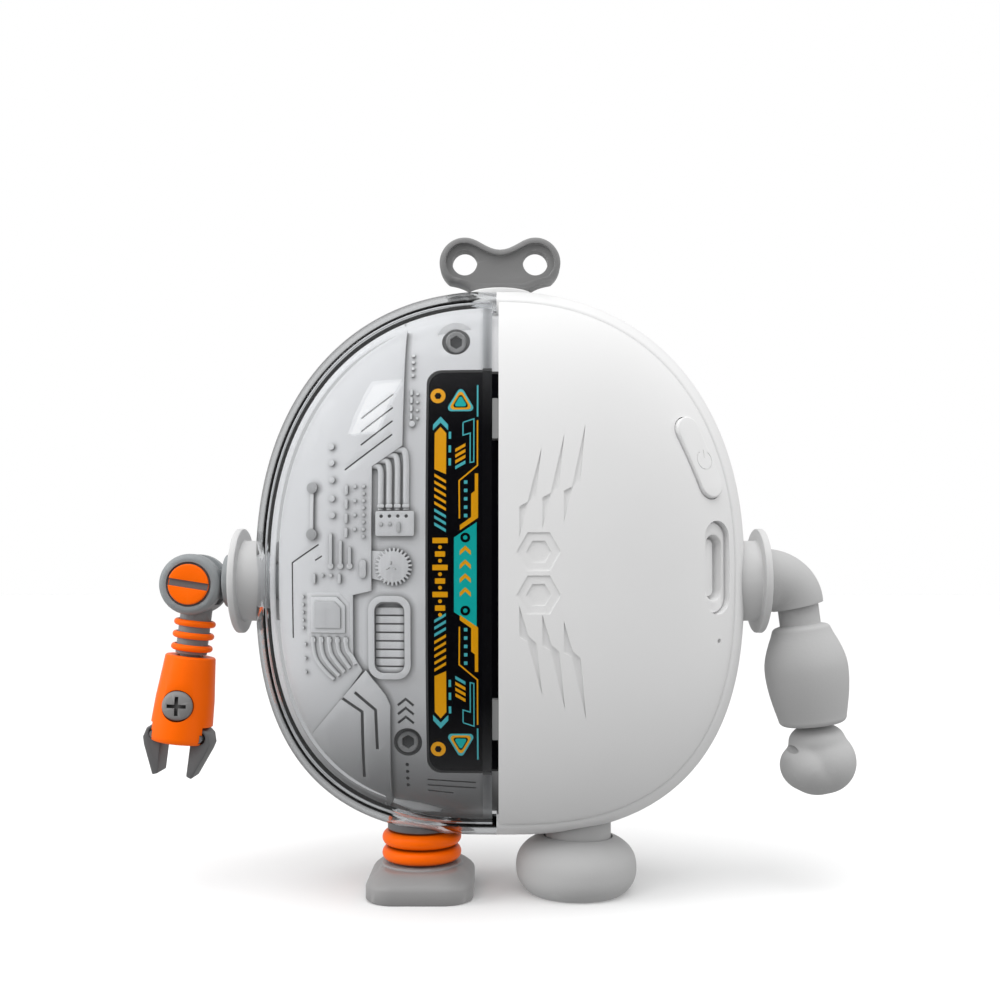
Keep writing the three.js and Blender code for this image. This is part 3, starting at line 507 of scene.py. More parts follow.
# The prints glow: painted light that brightens them under the clear cover.
AMBER = plastic("print_amber", srgb(240, 166, 4), rough=0.35, mottle=0.05, grain=0.03, wear=0.0, painted_glow=0.3)
CYAN = plastic("print_cyan", srgb(84, 196, 204), rough=0.35, mottle=0.05, grain=0.03, wear=0.0, painted_glow=0.2)
TEAL = plastic("print_teal", srgb(10, 190, 184), rough=0.35, mottle=0.05, grain=0.03, wear=0.0, painted_glow=0.2)
# Painted shade in the screw's corners and socket, and a painted glow.
STEEL = plastic("screw_steel", srgb(172, 172, 172), rough=0.36, mottle=0.08, grain=0.2, wear=0.3, corner_shade=0.7,
                painted_glow=0.08, Metallic=0.35)
SEAL = plastic("seal_black", srgb(34, 34, 36), rough=0.4, mottle=0.1, grain=0.2, wear=0.1)
KEY_GREY = plastic("key_grey", srgb(134, 134, 134), rough=0.36, mottle=0.03, grain=0.12, wear=0.5)
SHOE = plastic("shoe_grey", srgb(156, 155, 155), rough=0.36, mottle=0.03, grain=0.2, wear=0.25)
DARK = plastic("dark_grey", srgb(148, 152, 154), rough=0.45, mottle=0.04, grain=0.2, wear=0.25)
CLAW = plastic("claw_grey", srgb(110, 110, 111), rough=0.42, mottle=0.06, grain=0.25, wear=0.4)
# Painted shade in the cross slot's corners.
SCREW_GREY = plastic("screw_grey", srgb(142, 141, 141), rough=0.38, mottle=0.05, grain=0.2, wear=0.35,
                     corner_shade=0.9)
# Painted shade between the rings and in other corners, and a painted glow.
ORANGE = plastic("orange", srgb(255, 104, 0), rough=0.36, mottle=0.03, grain=0.1, wear=0.15, corner_shade=0.7,
                 painted_glow=0.17, Specular_IOR_Level=0.22)
SOFT = plastic("soft_grey", srgb(190, 190, 190), rough=0.62, mottle=0.02, grain=0.3, wear=0.08)
BOARD = plastic("board_green", srgb(26, 84, 58), rough=0.4, mottle=0.2, grain=0.2, wear=0.1)
CELL = plastic("cell_wrap", srgb(120, 124, 132), rough=0.3, mottle=0.06, grain=0.1, wear=0.1, Metallic=0.3)

# ---- casing ----
def rod(mesh, radius, low, high, place=Matrix.Identity(4), steps=40):
    turned(mesh, [(0, low), (radius, low), (radius, high), (0, high)], place, steps)


def sideways(side):
    """A frame at the shoulders whose Z points out of that side of the body."""
    return Matrix.Translation((0, 0, SHOULDER_Z)) @ Matrix.Rotation(side * math.pi / 2, 4, "Y")


SIDEWAYS = sideways(1)


def half_angles(side):
    return (-90, 90) if side > 0 else (90, 270)


def dome_cover(name, side, sign, finish, seam, slot, node):
    mesh = bmesh.new()
    outer, inner = dome_profiles(0, COVER_WALL, COVER_EDGE, sign)
    pebble_wall(mesh, outer, inner, *half_angles(side), 84, seam, side)
    return settle(make(name, mesh, finish, 40), "body", slot, node)


def side_band(name, side, finish, slot, node):
    mesh = bmesh.new()
    outer, inner = band_profiles()
    pebble_wall(mesh, outer, inner, *half_angles(side), 110, SEAM_CLOSED, side)
    band = make(name, mesh, finish, 40)
    cuts = bmesh.new()
    rod(cuts, SHOULDER_HOLE, side * 30, side * 38, SIDEWAYS)
    rod(cuts, KEY_HOLE, 80, 95)
    rod(cuts, HIP_HOLE, 5, 15, upright(side * HIP_X))
    carve(band, cuts, angle=40)
    return settle(band, "body", slot, node)


def bolt(tip, knee, jog, tail, width):
    """A thin lightning wedge: from the tip to the knee, across the jog, and down to the tail."""
    return [tip, knee, jog, tail, (jog[0] + width, jog[1] + 0.3), (knee[0] + width, knee[1] + 0.6)]


def hexagons(reach):
    return [circle(HEXAGON_X, z, reach, 6) for z in HEXAGON_HEIGHTS]


def etched_marks(mesh):
    """Three wedges above and three below, with two plain hexagons between them."""
    for x, z in ((0, 0), (3.1, 1.2), (6.0, 2.1)):
        upper = bolt((5.6 + x, 64.2 + z * 1.6), (3.7 + x, 56.9 + z), (2.6 + x, 56.3 + z), (2.6 + x, 52.2 + z),
                     1.1)
        lower = [(2.6 + x, 42.9 - z), (2.6 + x, 38.7 - z), (3.7 + x, 38.1 - z), (5.7 + x, 30.9 - z * 1.6),
                 (4.9 + x, 37.9 - z), (3.8 + x, 38.9 - z)]
        laid(mesh, (upper, lower), -0.6, 0.32)
    laid(mesh, hexagons(3.0), -0.6, 0.2)


def button_frame():
    return surface_frame(BUTTON_X, BUTTON_Z) @ Matrix.Rotation(math.radians(BUTTON_TILT), 4, "Z")


def white_front():
    cover = dome_cover("case_front_white", 1, -1, WHITE, SEAM_RIGHT, "white_plastic", "front_cover_white")
    cuts = bmesh.new()
    prism(cuts, rounded(*PORT_HOLE, steps=10), surface_frame(PORT_X, PORT_Z), -4, 2)
    prism(cuts, rounded(*BUTTON_HOLE, steps=10), button_frame(), -5, 2)
    rod(cuts, PINHOLE_RADIUS, -0.9, 1, surface_frame(PINHOLE_X, PINHOLE_Z), 16)
    etched_marks(cuts)
    carve(cover, cuts, angle=28)
    cuts = bmesh.new()
    laid(cuts, hexagons(1.7), -0.6, 0.42)
    carve(cover, cuts, angle=28)


def seam_flange():
    """The moulded lip that stiffens the clear front along the slit."""
    mesh = bmesh.new()
    inner, outer = SEAM_LEFT - 1.3, SEAM_LEFT - 0.02
    top, bottom = BODY_Z + 0.9 * UPPER, BODY_Z - 0.9 * LOWER
    edge = [(inner, top), (outer, top), (outer, bottom), (inner, bottom)]
    draped(mesh, edge, 1.55, 2.75, 1.2)
    settle(make("case_lip_clear", mesh, CLEAR, 40), "body", "clear_plastic")


def casing():
    white_front()
    dome_cover("case_front_clear", -1, -1, CLEAR, SEAM_LEFT, "clear_plastic", "front_cover_clear")
    seam_flange()
    dome_cover("case_rear_clear", -1, 1, CLEAR, SEAM_CLOSED, "clear_plastic", "rear_cover_clear")
    dome_cover("case_rear_white", 1, 1, WHITE, SEAM_RIGHT, "white_plastic", "rear_cover_white")
    side_band("case_band_clear", -1, CLEAR, "clear_plastic", "side_band_clear")
    side_band("case_band_white", 1, WHITE, "white_plastic", "side_band_white")


def rim_seal():
    """A thin dark seal inside the clear rim, above and below the shoulder."""
    mesh = bmesh.new()
    for start, end in ((100, 167), (193, 232)):
        pebble_wall(mesh, [(1.8, -1), (1.8, 1)], [(2.1, -1), (2.1, 1)], start, end, end - start)
    settle(make("rim_seal", mesh, SEAL, 40), "body", "claw_grey")


def seam_clips():
    middle = (SEAM_LEFT + SEAM_RIGHT) / 2
    for name, z in (("upper", 68.4), ("lower", 27.3)):
        mesh = bmesh.new()
        draped(mesh, rounded(0.8, 5.6, 0.12, middle, z, 3), 0.55, 3.2)
        settle(make(f"slit_clip_{name}", mesh, KEY_GREY), "body", "key_grey", f"seam_clip_{name}")


# ---- face panel ----
SCREWS = ((-6.2, 79.9), (-12.8, 23.9), (12.8, 23.9), (6.2, 79.9))
SCREW_SUNK, BOSS_RADIUS, SCREW_WELL = 2.2, 2.9, 2.0


def screw_seat(x, z):
    return front(x, z, CORE_INSET) + SCREW_SUNK


def drill_frame(cuts):
    """Holes through the inner frame for the arms' axles, the key's bush and the legs."""
    rod(cuts, FRAME_SHOULDER_HOLE, -38, 38, SIDEWAYS)
    rod(cuts, FRAME_KEY_HOLE, 80, 95)
    for side in (-1, 1):
        rod(cuts, HIP_HOLE, 5, 17, upright(side * HIP_X))


def face_panel():
    mesh = bmesh.new()
    outer, inner = dome_profiles(CORE_INSET, CORE_WALL, 0.2, -1)
    pebble_wall(mesh, outer, inner, 0, 360, 150)
    panel = make("panel_shell", mesh, PANEL, 40)
    bosses = bmesh.new()
    for x, z in SCREWS:
        turned(bosses, [(0, 0), (BOSS_RADIUS, 0), (BOSS_RADIUS, 4), (0, 4)],
               along_y(x, z, screw_seat(x, z) + 3))
    carve(panel, bosses, "UNION")
    cuts = bmesh.new()
    for x, z in SCREWS:
        rod(cuts, SCREW_WELL, 0, 14, along_y(x, z, screw_seat(x, z)), 32)
    draped(cuts, rounded(*STRIP_WINDOW, 0, BODY_Z), 2, 4.6, 1.5)
    drill_frame(cuts)
    draped(cuts, rounded(4.2, 9.4, 1.4, VENT_X, VENT_Z), 2, 4.1, 1.5)
    prism(cuts, rounded(*PORT_HOLE), surface_frame(PORT_X, PORT_Z), -10, -1)
    prism(cuts, rounded(4.8, 4.8, 0.3), surface_frame(BUTTON_X, BUTTON_Z), -8, -1)
    laid(cuts, panel_grooves(), 2.4, CORE_INSET + 0.5, 1.5)
    carve(panel, cuts, angle=30)
    settle(panel, "body", "panel_plastic", "face_panel")


def panel_grooves():
    """Shallow marks cut in the panel itself: chevrons, dots and lines under the strip."""
    grooves = []
    for i in range(3):
        z = 30.0 - 1.25 * i
        grooves.append(stroke([(-14.1, z - 0.9), (-13.0, z), (-11.9, z - 0.9)], 0.34))
    grooves += [circle(-13.0, 20.6 - 1.05 * i, 0.26, 12) for i in range(4)]
    for i, end in enumerate((-3.4, -3.4, -6.6)):
        grooves.append(stroke([(-10.2, 18.4 - 0.85 * i), (end, 18.0 - 0.85 * i)], 0.2))
    return grooves


def plate_edge(start, end, share=0.955, steps=26):
    """Points along the panel's rim between two angles."""
    points = []
    for i in range(steps + 1):
        x, z = outline(math.radians(start + (end - start) * i / steps), CORE_INSET)
        points.append((x * share, BODY_Z + z * share))
    return points


def plate_grooves():
    """Routed grooves: four slashes and a bent line on the upper plate, two bent lines on the lower one."""
    slashes = []
    for i in range(4):
        longer = 1 if i == 3 else 0
        slashes.append([(-14.8, 72.1 - 1.9 * i), (-19.2 - 2.2 * longer, 68.8 - 1.9 * i - 1.5 * longer)])
    upper = [stroke(line, 0.22) for line in slashes + [[(-25.1, 51.3), (-29.1, 48.8), (-29.0, 38.2)]]]
    upper.append(stroke([(-24.6, 49.7), (-25.6, 49.1)], 0.2))
    lower = [stroke([(-22.1, 30.2), (-19.0, 28.2), (-19.1, 18.6)], 0.42),
             stroke([(-20.0, 30.9), (-17.1, 28.5), (-17.0, 22.9)], 0.42)]
    return {"upper": upper, "lower": lower}


def plates():
    """The two raised plates on the clear side."""
    upper = [(-13.25, 82.0), (-13.4, 64.8), (-17.6, 62.0), (-17.6, 44.9), (-20.2, 44.3), (-20.2, 35.9),
             (-18.9, 33.9)] + plate_edge(218, 124)
    lower = [(-18.4, 34.0), (-15.7, 30.5), (-15.1, 29.1), (-15.4, 14.6)] + plate_edge(245, 216.5)
    grooves = plate_grooves()
    for name, points, top in (("upper", upper, PLATE_TOP), ("lower", lower, PLATE_TOP - 0.22)):
        mesh = bmesh.new()
        draped(mesh, points, top, CORE_INSET + 0.05)
        plate = make(f"plate_{name}", mesh, PANEL, 30)
        cuts = bmesh.new()
        laid(cuts, grooves[name], 2.0, PLATE_TOP + 0.5)
        carve(plate, cuts, angle=30)
        soften(plate, 0.1, 2)
        settle(plate, "body", "panel_plastic")


def micro_pattern(mesh, x0, x1, z0, z1, top, bottom, seed):
    """Tiny raised marks in columns: dots, upright dashes, and dots set wider."""
    across, down, size = 1.22, 0.98, 0.42
    rows = int((z1 - z0) / down)
    for column in range(int((x1 - x0) / across + 0.3)):
        x, kind, row = x0 + (column + 0.4) * across, (column + seed) % 3, seed % 2
        while row < rows:
            height = size + (down * 0.9 if kind == 1 else 0)
            mark = rounded(size, height, 0.12, x, z1 - row * down - height / 2, 2)
            draped(mesh, mark, top, bottom, 3)
            row += (1, 2, 2)[kind]


def relief():
    """Everything small that stands on the panel and its plates."""
    mesh = bmesh.new()
    on_plate = (PLATE_TOP - 0.42, PLATE_TOP + 0.05)
    for x, z in ((-23.4, 64.9), (-23.3, 62.6), (-23.2, 60.2), (-23.15, 57.6), (-23.1, 55.3)):
        draped(mesh, circle(x, z, 0.42, 16), *on_plate, 3)
    draped(mesh, rounded(0.5, 6.1, 0.2, -26.1, 55.9, 3), *on_plate)
    for z in (59.2, 52.7):
        draped(mesh, circle(-26.1, z, 0.75, 20), PLATE_TOP - 0.6, on_plate[1], 3)
    for i, (x, top) in enumerate(((-23.3, 52.8), (-21.9, 51.8), (-20.6, 50.9))):
        draped(mesh, rounded(0.42, top - 48.4, 0.15, x, (top + 48.4) / 2, 3), *on_plate)
        draped(mesh, circle(x, 48.3, 0.42, 14), PLATE_TOP - 0.4, on_plate[1], 3)
    draped(mesh, rounded(0.9, 2.5, 0.44, -18.75, 47.9), *on_plate, 3)
    micro_pattern(mesh, -21.6, -18.0, 50.9, 60.4, *on_plate, 1)
    micro_pattern(mesh, -26.2, -21.2, 45.5, 47.2, *on_plate, 4)
    micro_pattern(mesh, -27.6, -25.6, 31.9, 37.6, *on_plate, 2)
    for i in range(5):
        draped(mesh, circle(-27.4, 44.0 - 1.08 * i, 0.22, 10), *on_plate, 3)
    on_panel = (CORE_INSET - 0.42, CORE_INSET + 0.05)
    micro_pattern(mesh, -12.6, -10.7, 73.4, 79.0, *on_panel, 3)
    for i in range(4):
        draped(mesh, rounded(0.34, 0.85, 0.12, -12.25, 72.4 - 1.15 * i, 2), *on_panel, 3)
        draped(mesh, circle(-11.4, 72.1 - 1.15 * i, 0.2, 10), *on_panel, 3)
    draped(mesh, circle(-12.1, 67.9, 0.42, 16), *on_panel, 3)
    tab = [(-17.6, 50.4), (-15.0, 50.3), (-13.6, 49.3), (-13.4, 47.2), (-15.0, 46.0), (-17.6, 46.6)]
    draped(mesh, tab, CORE_INSET - 0.55, CORE_INSET + 0.05)
    piece = make("panel_relief", mesh, PANEL, 40)
    soften(piece, 0.07, 2)
    settle(piece, "body", "panel_plastic")


def bend(points, height, steps=10):
    """A smooth path through the points, laid on the panel at that inset."""
    path = []
    controls = [Vector(p) for p in points]
    for a, b, c in zip(controls, controls[1:], controls[2:]):
        first = controls[0] if a is controls[0] else (a + b) / 2
        last = controls[-1] if c is controls[-1] else (b + c) / 2
        for i in range(steps):
            t = i / steps
            path.append(first * (1 - t) ** 2 + b * 2 * t * (1 - t) + last * t * t)
    path.append(controls[-1])
    return [(p.x, front(p.x, p.y, height), p.y) for p in path]


PIPE_X = [-16.3 + 1.15 * i for i in range(4)]
THIN_PIPE_X = [-25.9 + 1.18 * i for i in range(5)]


def pipes():
    """Four pipes that rise from the connector, and five thin ones that leave the chip."""
    paths = []
    for i, x in enumerate(PIPE_X):
        top = 62.3 + 0.72 * i
        route = [(x, 55.9), (x, 59.4), (x, top - 0.5), (x - 0.8, top - 0.1), (x - 2.0, top - 0.2)]
        paths.append(bend(route, 3.2))
    settle(tubes("pipes_upper", paths, 0.45, PANEL), "body", "panel_plastic")
    paths = []
    for i, x in enumerate(THIN_PIPE_X):
        route = [(x, 38.5), (x, 36.4 + 0.1 * i), (x + 0.9, 34.4 + 0.35 * i),
                 (x + 3.0 - 0.42 * i, 32.6 + 0.55 * i)]
        paths.append(bend(route, PLATE_TOP - 0.1))
    settle(tubes("pipes_lower", paths, 0.3, PANEL), "body", "panel_plastic")
    mesh = bmesh.new()
    laid(mesh, [rounded(0.95, 0.5, 0.15, x, 56.5, 3) for x in PIPE_X], 2.55, 3.45)
    laid(mesh, [rounded(0.7, 0.6, 0.15, x, 38.0, 3) for x in THIN_PIPE_X], 2.35, 2.9)
    collars = make("pipe_collars", mesh, PANEL, 40)
    soften(collars, 0.08)
    settle(collars, "body", "panel_plastic")


def chip():
    mesh = bmesh.new()
    for size, top in ((6.2, 2.62), (5.0, 2.4), (3.7, 2.18)):
        half, cut = size / 2, size * 0.24
        points = [(half, half - cut), (half - cut, half), (-half, half), (-half, -half), (half, -half)]
        draped(mesh, [(x + CHIP_X, z + CHIP_Z) for x, z in points], top, 2.9, 2)
    piece = make("chip_steps", mesh, PANEL, 40)
    soften(piece, 0.08)
    settle(piece, "body", "panel_plastic", "chip_block")


def connector():
    mesh = bmesh.new()
    draped(mesh, rounded(5.3, 3.4, 0.25, CONNECTOR_X, CONNECTOR_Z, 3), 2.4, 3.45)
    block = make("connector_body", mesh, PANEL, 40)
    cuts = bmesh.new()
    laid(cuts, [circle(-16.2 + 1.15 * i, 55.1, 0.24, 10) for i in range(4)], 1.9, 2.75)
    carve(block, cuts)
    soften(block, 0.08)
    settle(block, "body", "panel_plastic", "connector_block")
    mesh = bmesh.new()
    micro_pattern(mesh, -16.7, -12.2, 52.6, 54.2, 2.2, 2.45, 2)
    marks = make("connector_marks", mesh, PANEL, 40)
    soften(marks, 0.05)
    settle(marks, "body", "panel_plastic")


def gear():
    mesh = bmesh.new()
    place = surface_frame(GEAR_X, GEAR_Z, CORE_INSET)
    teeth, points = 26, []
    for i in range(teeth):
        for part, radius in ((0.0, 2.12), (0.12, 2.6), (0.5, 2.6), (0.62, 2.12)):
            angle = 2 * math.pi * (i + part) / teeth
            points.append((radius * math.cos(angle), radius * math.sin(angle)))
    prism(mesh, points, place, 0.1, 0.62)
    hub = [(0, 0.5), (1.95, 0.5), (1.95, 0.95), (1.2, 1.0), (1.2, 1.5), (0, 1.55)]
    turned(mesh, soft_edge(hub, 0.15), place)
    wheel = make("gear_dial", mesh, PANEL, 35)
    cuts = bmesh.new()
    for i in range(3):
        turn = place @ Matrix.Rotation(math.radians(90 + 120 * i), 4, "Z")
        prism(cuts, rounded(0.5, 0.16, 0.07, 0.5, 0, 3), turn, 1.2, 2)
    carve(wheel, cuts)
    soften(wheel, 0.05)
    settle(wheel, "body", "panel_plastic", "gear_wheel")


def vent():
    mesh = bmesh.new()
    outer = rounded(5.8, 11.4, 1.9, VENT_X, VENT_Z, 8)
    draped(mesh, outer, 2.35, 3.45, 1.4)
    frame_piece = make("vent_surround", mesh, PANEL, 35)
    cuts = bmesh.new()
    draped(cuts, rounded(4.2, 9.8, 1.3, VENT_X, VENT_Z, 8), 1.5, 3.9, 1.4)
    carve(frame_piece, cuts)
    soften(frame_piece, 0.22, 3)
    settle(frame_piece, "body", "panel_plastic", "vent_frame")
    mesh = bmesh.new()
    for i in range(8):
        z = 42.6 - 1.17 * i
        left, right, low = VENT_X - 2, VENT_X + 2, z - 0.98
        draped(mesh, [(left, z), (right, z), (right, low), (left, low)], 3.35, 4.15, 3)
    slats = make("vent_slats", mesh, PANEL, 35)
    soften(slats, 0.12)
    settle(slats, "body", "panel_plastic")


def panel_screws():
    for i, (x, z) in enumerate(SCREWS):
        seat = screw_seat(x, z) - 0.3
        mesh = bmesh.new()
        head = [(0, 0), (1.5, 0), (1.5, 1.45), (1.35, 1.6), (0, 1.6)]
        turned(mesh, soft_edge(head, 0.12), along_y(x, z, seat))
        rod(mesh, 0.8, -3, 0.2, along_y(x, z, seat), 24)
        screw = make(f"hex_screw_{i + 1}", mesh, STEEL, 35)
        cuts = bmesh.new()
        rod(cuts, 0.95, 0.6, 3, along_y(x, z, seat) @ Matrix.Rotation(math.pi / 6, 4, "Z"), 6)
        carve(screw, cuts)
        settle(screw, "body", "screw_steel", f"panel_screw_{i + 1}")
        # A dark disc at the bottom of the hex socket: painted shade.
        mesh = bmesh.new()
        rod(mesh, 1.0, 0.5, 0.7, along_y(x, z, seat), 24)
        settle(make(f"hex_socket_shade_{i + 1}", mesh, CLAW), "body", "claw_grey")


# ---- printed strip ----
STRIP_MIDDLE = 47.4


def slash(x0, x1, z, height, slope):
    return [(x0, z), (x1, z - slope), (x1, z - slope - height), (x0, z - height)]


def rounded_triangle(cx, cz, reach, corner):
    points = []
    for start in (90, 210, 330):
        x = cx + (reach - corner) * math.cos(math.radians(start))
        z = cz + (reach - corner) * math.sin(math.radians(start))
        points += arc(x, z, corner, start - 60, start + 60, 5)
    return points


def strip_art():
    """Generic marks of the upper half, by ink and layer; the lower half mirrors them."""
    amber = [circle(-8.6, 71.9, 1.05, 24),
             [(-9.0, 61.6), (-7.4, 60.9), (-7.4, 66.6), (-8.2, 67.5), (-9.0, 66.6)]]
    amber += [slash(-9.0, -7.4, 61.0 - 0.95 * i, 0.42, 0.95) for i in range(5)]
    amber += [slash(-4.75, -6.15, 65.2 - 0.8 * i, 0.45, 0.8) for i in range(3)]
    amber += [stroke([(-3.1, 68.4), (-3.1, 62.1), (-5.6, 60.0), (-5.55, 54.8)], 0.2)]
    amber += [[(-3.45, 61.0), (-3.0, 61.0), (-3.0, 54.9), (-5.5, 53.2), (-5.5, 53.9), (-3.95, 55.0),
               (-3.95, 58.2), (-3.45, 58.6)]]
    cyan = [stroke([(-3.1, 68.9), (-3.1, 73.4)], 0.22)]
    cyan += [[(-9.25, 67.0), (-8.2, 68.1), (-7.15, 67.0), (-7.15, 67.8), (-8.2, 68.95), (-9.25, 67.8)]]
    cyan += [rounded(0.35, 1.0, 0.05, -6.9, z, 2) for z in (66.3, 64.4, 62.6)]
    cyan += [slash(-9.0, -7.4, 56.2 - 0.95 * i, 0.42, 0.95) for i in range(3)]
    cyan += [slash(-4.75, -6.15, 62.8, 0.45, 0.8)]
    cyan += [rounded(0.48, 0.48, 0.05, -4.7, 59.8 - 1.15 * i, 2) for i in range(5)]
    bracket = [(-5.1, 68.1), (-3.6, 68.6), (-3.6, 62.6), (-4.1, 62.5), (-4.1, 66.6), (-5.1, 66.3),
               (-5.1, 68.04)]
    cyan += [stroke(bracket, 0.16)]
    return amber, cyan


def printed_strip():
    mesh = bmesh.new()
    draped(mesh, rounded(*STRIP_SIZE, 0, BODY_Z, 8), STRIP_TOP, STRIP_BOTTOM)
    plate = make("strip_plate", mesh, NAVY, 40)
    soften(plate, 0.15)
    settle(plate, "body", "printed_strip", "display_plate")
    amber, cyan = strip_art()
    amber += [mirrored(points, STRIP_MIDDLE) for points in amber]
    cyan += [mirrored(points, STRIP_MIDDLE) for points in cyan]
    emblem = (-5.45, 70.9)
    layers = {
        "cyan": (0.02, cyan + [rounded_triangle(*emblem, 1.95, 0.5)]),
        "amber": (0.03, amber),
        "teal": (0.02, [[(-6.3, 52.2), (-3.2, 54.3), (-3.2, 40.0), (-6.3, 42.0)]]),
    }
    layers["cyan"][1].append(mirrored(rounded_triangle(*emblem, 1.95, 0.5), STRIP_MIDDLE))
    over = [("amber", 0.05, rounded_triangle(*emblem, 1.55, 0.42)),
            ("navy", 0.07, rounded_triangle(*emblem, 1.1, 0.3)),
            ("teal", 0.09, rounded_triangle(*emblem, 0.85, 0.25)),
            ("navy", 0.05, circle(-8.6, 71.9, 0.5, 6))]
    blocks = []
    for i in range(6):
        z = 51.8 - 1.85 * i
        blocks.append(("amber", 0.03, rounded(2.1 - 0.7 * (i % 2), 0.75, 0.08, -8.2, z, 2)))
        blocks.append(("amber", 0.03, circle(-8.2, z - 0.92, 0.27, 14)))
    for i in range(4):
        z = 50.4 - 1.9 * i
        chevron = [(-5.5, z), (-4.75, z + 0.7), (-4.0, z), (-4.0, z - 0.6), (-4.75, z + 0.1), (-5.5, z - 0.6)]
        blocks.append(("amber", 0.05, chevron))
    pairs = []
    for ink, lift, points in over:
        pairs += [(ink, lift, points), (ink, lift, mirrored(points, STRIP_MIDDLE))]
    for z in (52.2, 42.2):
        pairs += [("navy", 0.05, circle(-4.75, z, 0.68, 20)), ("teal", 0.07, circle(-4.75, z, 0.3, 14))]
    groups = {name: [(lift, points) for points in outlines] for name, (lift, outlines) in layers.items()}
    finishes = {"cyan": CYAN, "amber": AMBER, "teal": TEAL, "navy": NAVY}
    for ink, lift, points in pairs + blocks:
        groups.setdefault(ink, []).append((lift, points))
    for ink, marks in groups.items():
        mesh = bmesh.new()
        for lift, points in marks:
            draped(mesh, points, STRIP_TOP - lift, STRIP_TOP + 0.02, 2)
        settle(make(f"strip_print_{ink}", mesh, finishes[ink], 40), "body", "printed_strip")


# ---- inside ----
def insides():
    mesh = bmesh.new()
    outer, inner = dome_profiles(CORE_INSET, CORE_WALL, 0.2, 1)
    pebble_wall(mesh, outer, inner, 0, 360, 150)
    rear = make("panel_rear", mesh, PANEL, 40)
    cuts = bmesh.new()
    drill_frame(cuts)
    for i in range(9):
        prism(cuts, rounded(18, 0.9, 0.44), along_y(-13, BODY_Z - 12 + 3 * i, 20), 0, 7.4)
    carve(rear, cuts, angle=30)
    settle(rear, "body", "panel_plastic", "rear_panel")
    for node, finish in (("battery_cell", CELL), ("main_board", BOARD), ("power_switch", CLAW)):
        paint(node, finish)


def paint(node, finish):
    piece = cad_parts[node]
    piece.data.materials.clear()
    piece.data.materials.append(finish)


def port_and_button():
    place = surface_frame(PORT_X, PORT_Z)
    mesh = bmesh.new()
    prism(mesh, rounded(*PORT_LINER, steps=10), place, -9, -1.0)
    socket = make("port_socket", mesh, WHITE, 35)
    cuts = bmesh.new()
    prism(cuts, rounded(*PORT_MOUTH, steps=10), place, -8, 1)
    carve(socket, cuts)
    soften(socket, 0.12)
    settle(socket, "body", "white_plastic", "usb_socket")
    mesh = bmesh.new()
    prism(mesh, rounded(2.1, 8.1, 0.9), place, -7.9, -2.0)
    tongue = make("port_tongue", mesh, WHITE)
    soften(tongue, 0.25, 3)
    settle(tongue, "body", "white_plastic")
    spot = button_frame()
    mesh = bmesh.new()
    prism(mesh, rounded(*BUTTON_PILL, steps=12), spot, -1.8, 0.3)
    button = make("button_pill", mesh, WHITE, 35)
    soften(button, 0.28, 4)
    sign = bmesh.new()
    level = Matrix.Rotation(math.radians(-BUTTON_TILT), 4, "Z")
    symbol = spot @ Matrix.Translation((0.4, -0.6, 0)) @ level
    prism(sign, stroke(arc(0, 0, 1.35, 125, 415, 24), 0.16), symbol, 0.2, 1)
    prism(sign, rounded(0.16, 1.2, 0.07, 0, 0.9, 3), symbol, 0.2, 1)
    carve(button, sign, angle=30)
    settle(button, "button", "white_plastic", "power_button")


# ---- key ----
LOBE_X, LOBE_Z, LOBE, LOBE_HOLE = 5.26, 93.6, 3.75, 1.86
KEY_WAIST, KEY_NECK, KEY_FOOT = 95.55, 4.4, 89.4
KEY_HALF, KEY_WEB = 1.8, 1.1  # half thickness at the rim and in the sunk middle


def key_outline(grow):
    """Two lobes joined by a dipped waist, flaring to a neck at the bottom."""
    lobe = LOBE + grow
    points = arc(LOBE_X, LOBE_Z, lobe, -52, 108, 26)
    waist = Vector((0, KEY_WAIST + grow))
    for i in range(1, 12):
        t = i / 12
        a, b = Vector(points[26]), Vector((-points[26][0], points[26][1]))
        drop = (a.y - waist.y) * math.sin(math.pi * t) ** 1.3
        points.append((a.x + (b.x - a.x) * t, a.y - drop))
    points += [(-x, z) for x, z in arc(LOBE_X, LOBE_Z, lobe, 108, -52, 26)]
    foot = KEY_NECK + grow
    neck = Vector((foot, KEY_FOOT - min(0.0, grow)))
    start = Vector(points[0])
    side = []
    for i in range(9):
        t = i / 8
        middle = Vector((foot + 0.9, 90.3 - grow * 0.4))
        side.append(neck * (1 - t) ** 2 + middle * 2 * t * (1 - t) + start * t * t)
    left = [(-p.x, p.y) for p in side[::-1][1:]]
    return points + left + [tuple(p) for p in side[:-1]]


def wind_key():
    mesh = bmesh.new()
    prism(mesh, key_outline(0), along_y(), -KEY_HALF, KEY_HALF)
    key = make("key_wings", mesh, KEY_GREY, 35)
    soften(key, 0.75, 4, 50)
    cuts = bmesh.new()
    inner = [(x, max(z, 88.5)) for x, z in key_outline(-0.95)]
    prism(cuts, inner, along_y(), KEY_WEB, 3)
    prism(cuts, inner, along_y(), -3, -KEY_WEB)
    carve(key, cuts, angle=30)
    cuts = bmesh.new()
    for x in (-LOBE_X, LOBE_X):
        rod(cuts, LOBE_HOLE, -5, 5, along_y(x, LOBE_Z), 48)
    carve(key, cuts, angle=30)
    soften(key, 0.14, 3, 50)
    shaft = [(0, 81.1), (2.9, 81.1), (2.9, 82.3), (2, 82.3), (2, 89.6), (0, 89.6)]
    lathe("key_shaft", shaft, upright(0), KEY_GREY, "key", "key_grey")
    settle(key, "key", "key_grey", "wind_key")
    bush = [(2.3, 82.6), (3.4, 82.6), (3.4, 86.2), (5, 86.2), (5, 89), (2.3, 89)]
    lathe("key_collar", soft_edge(bush, 0.25), upright(0), WHITE, "body", "white_plastic", "key_bush")


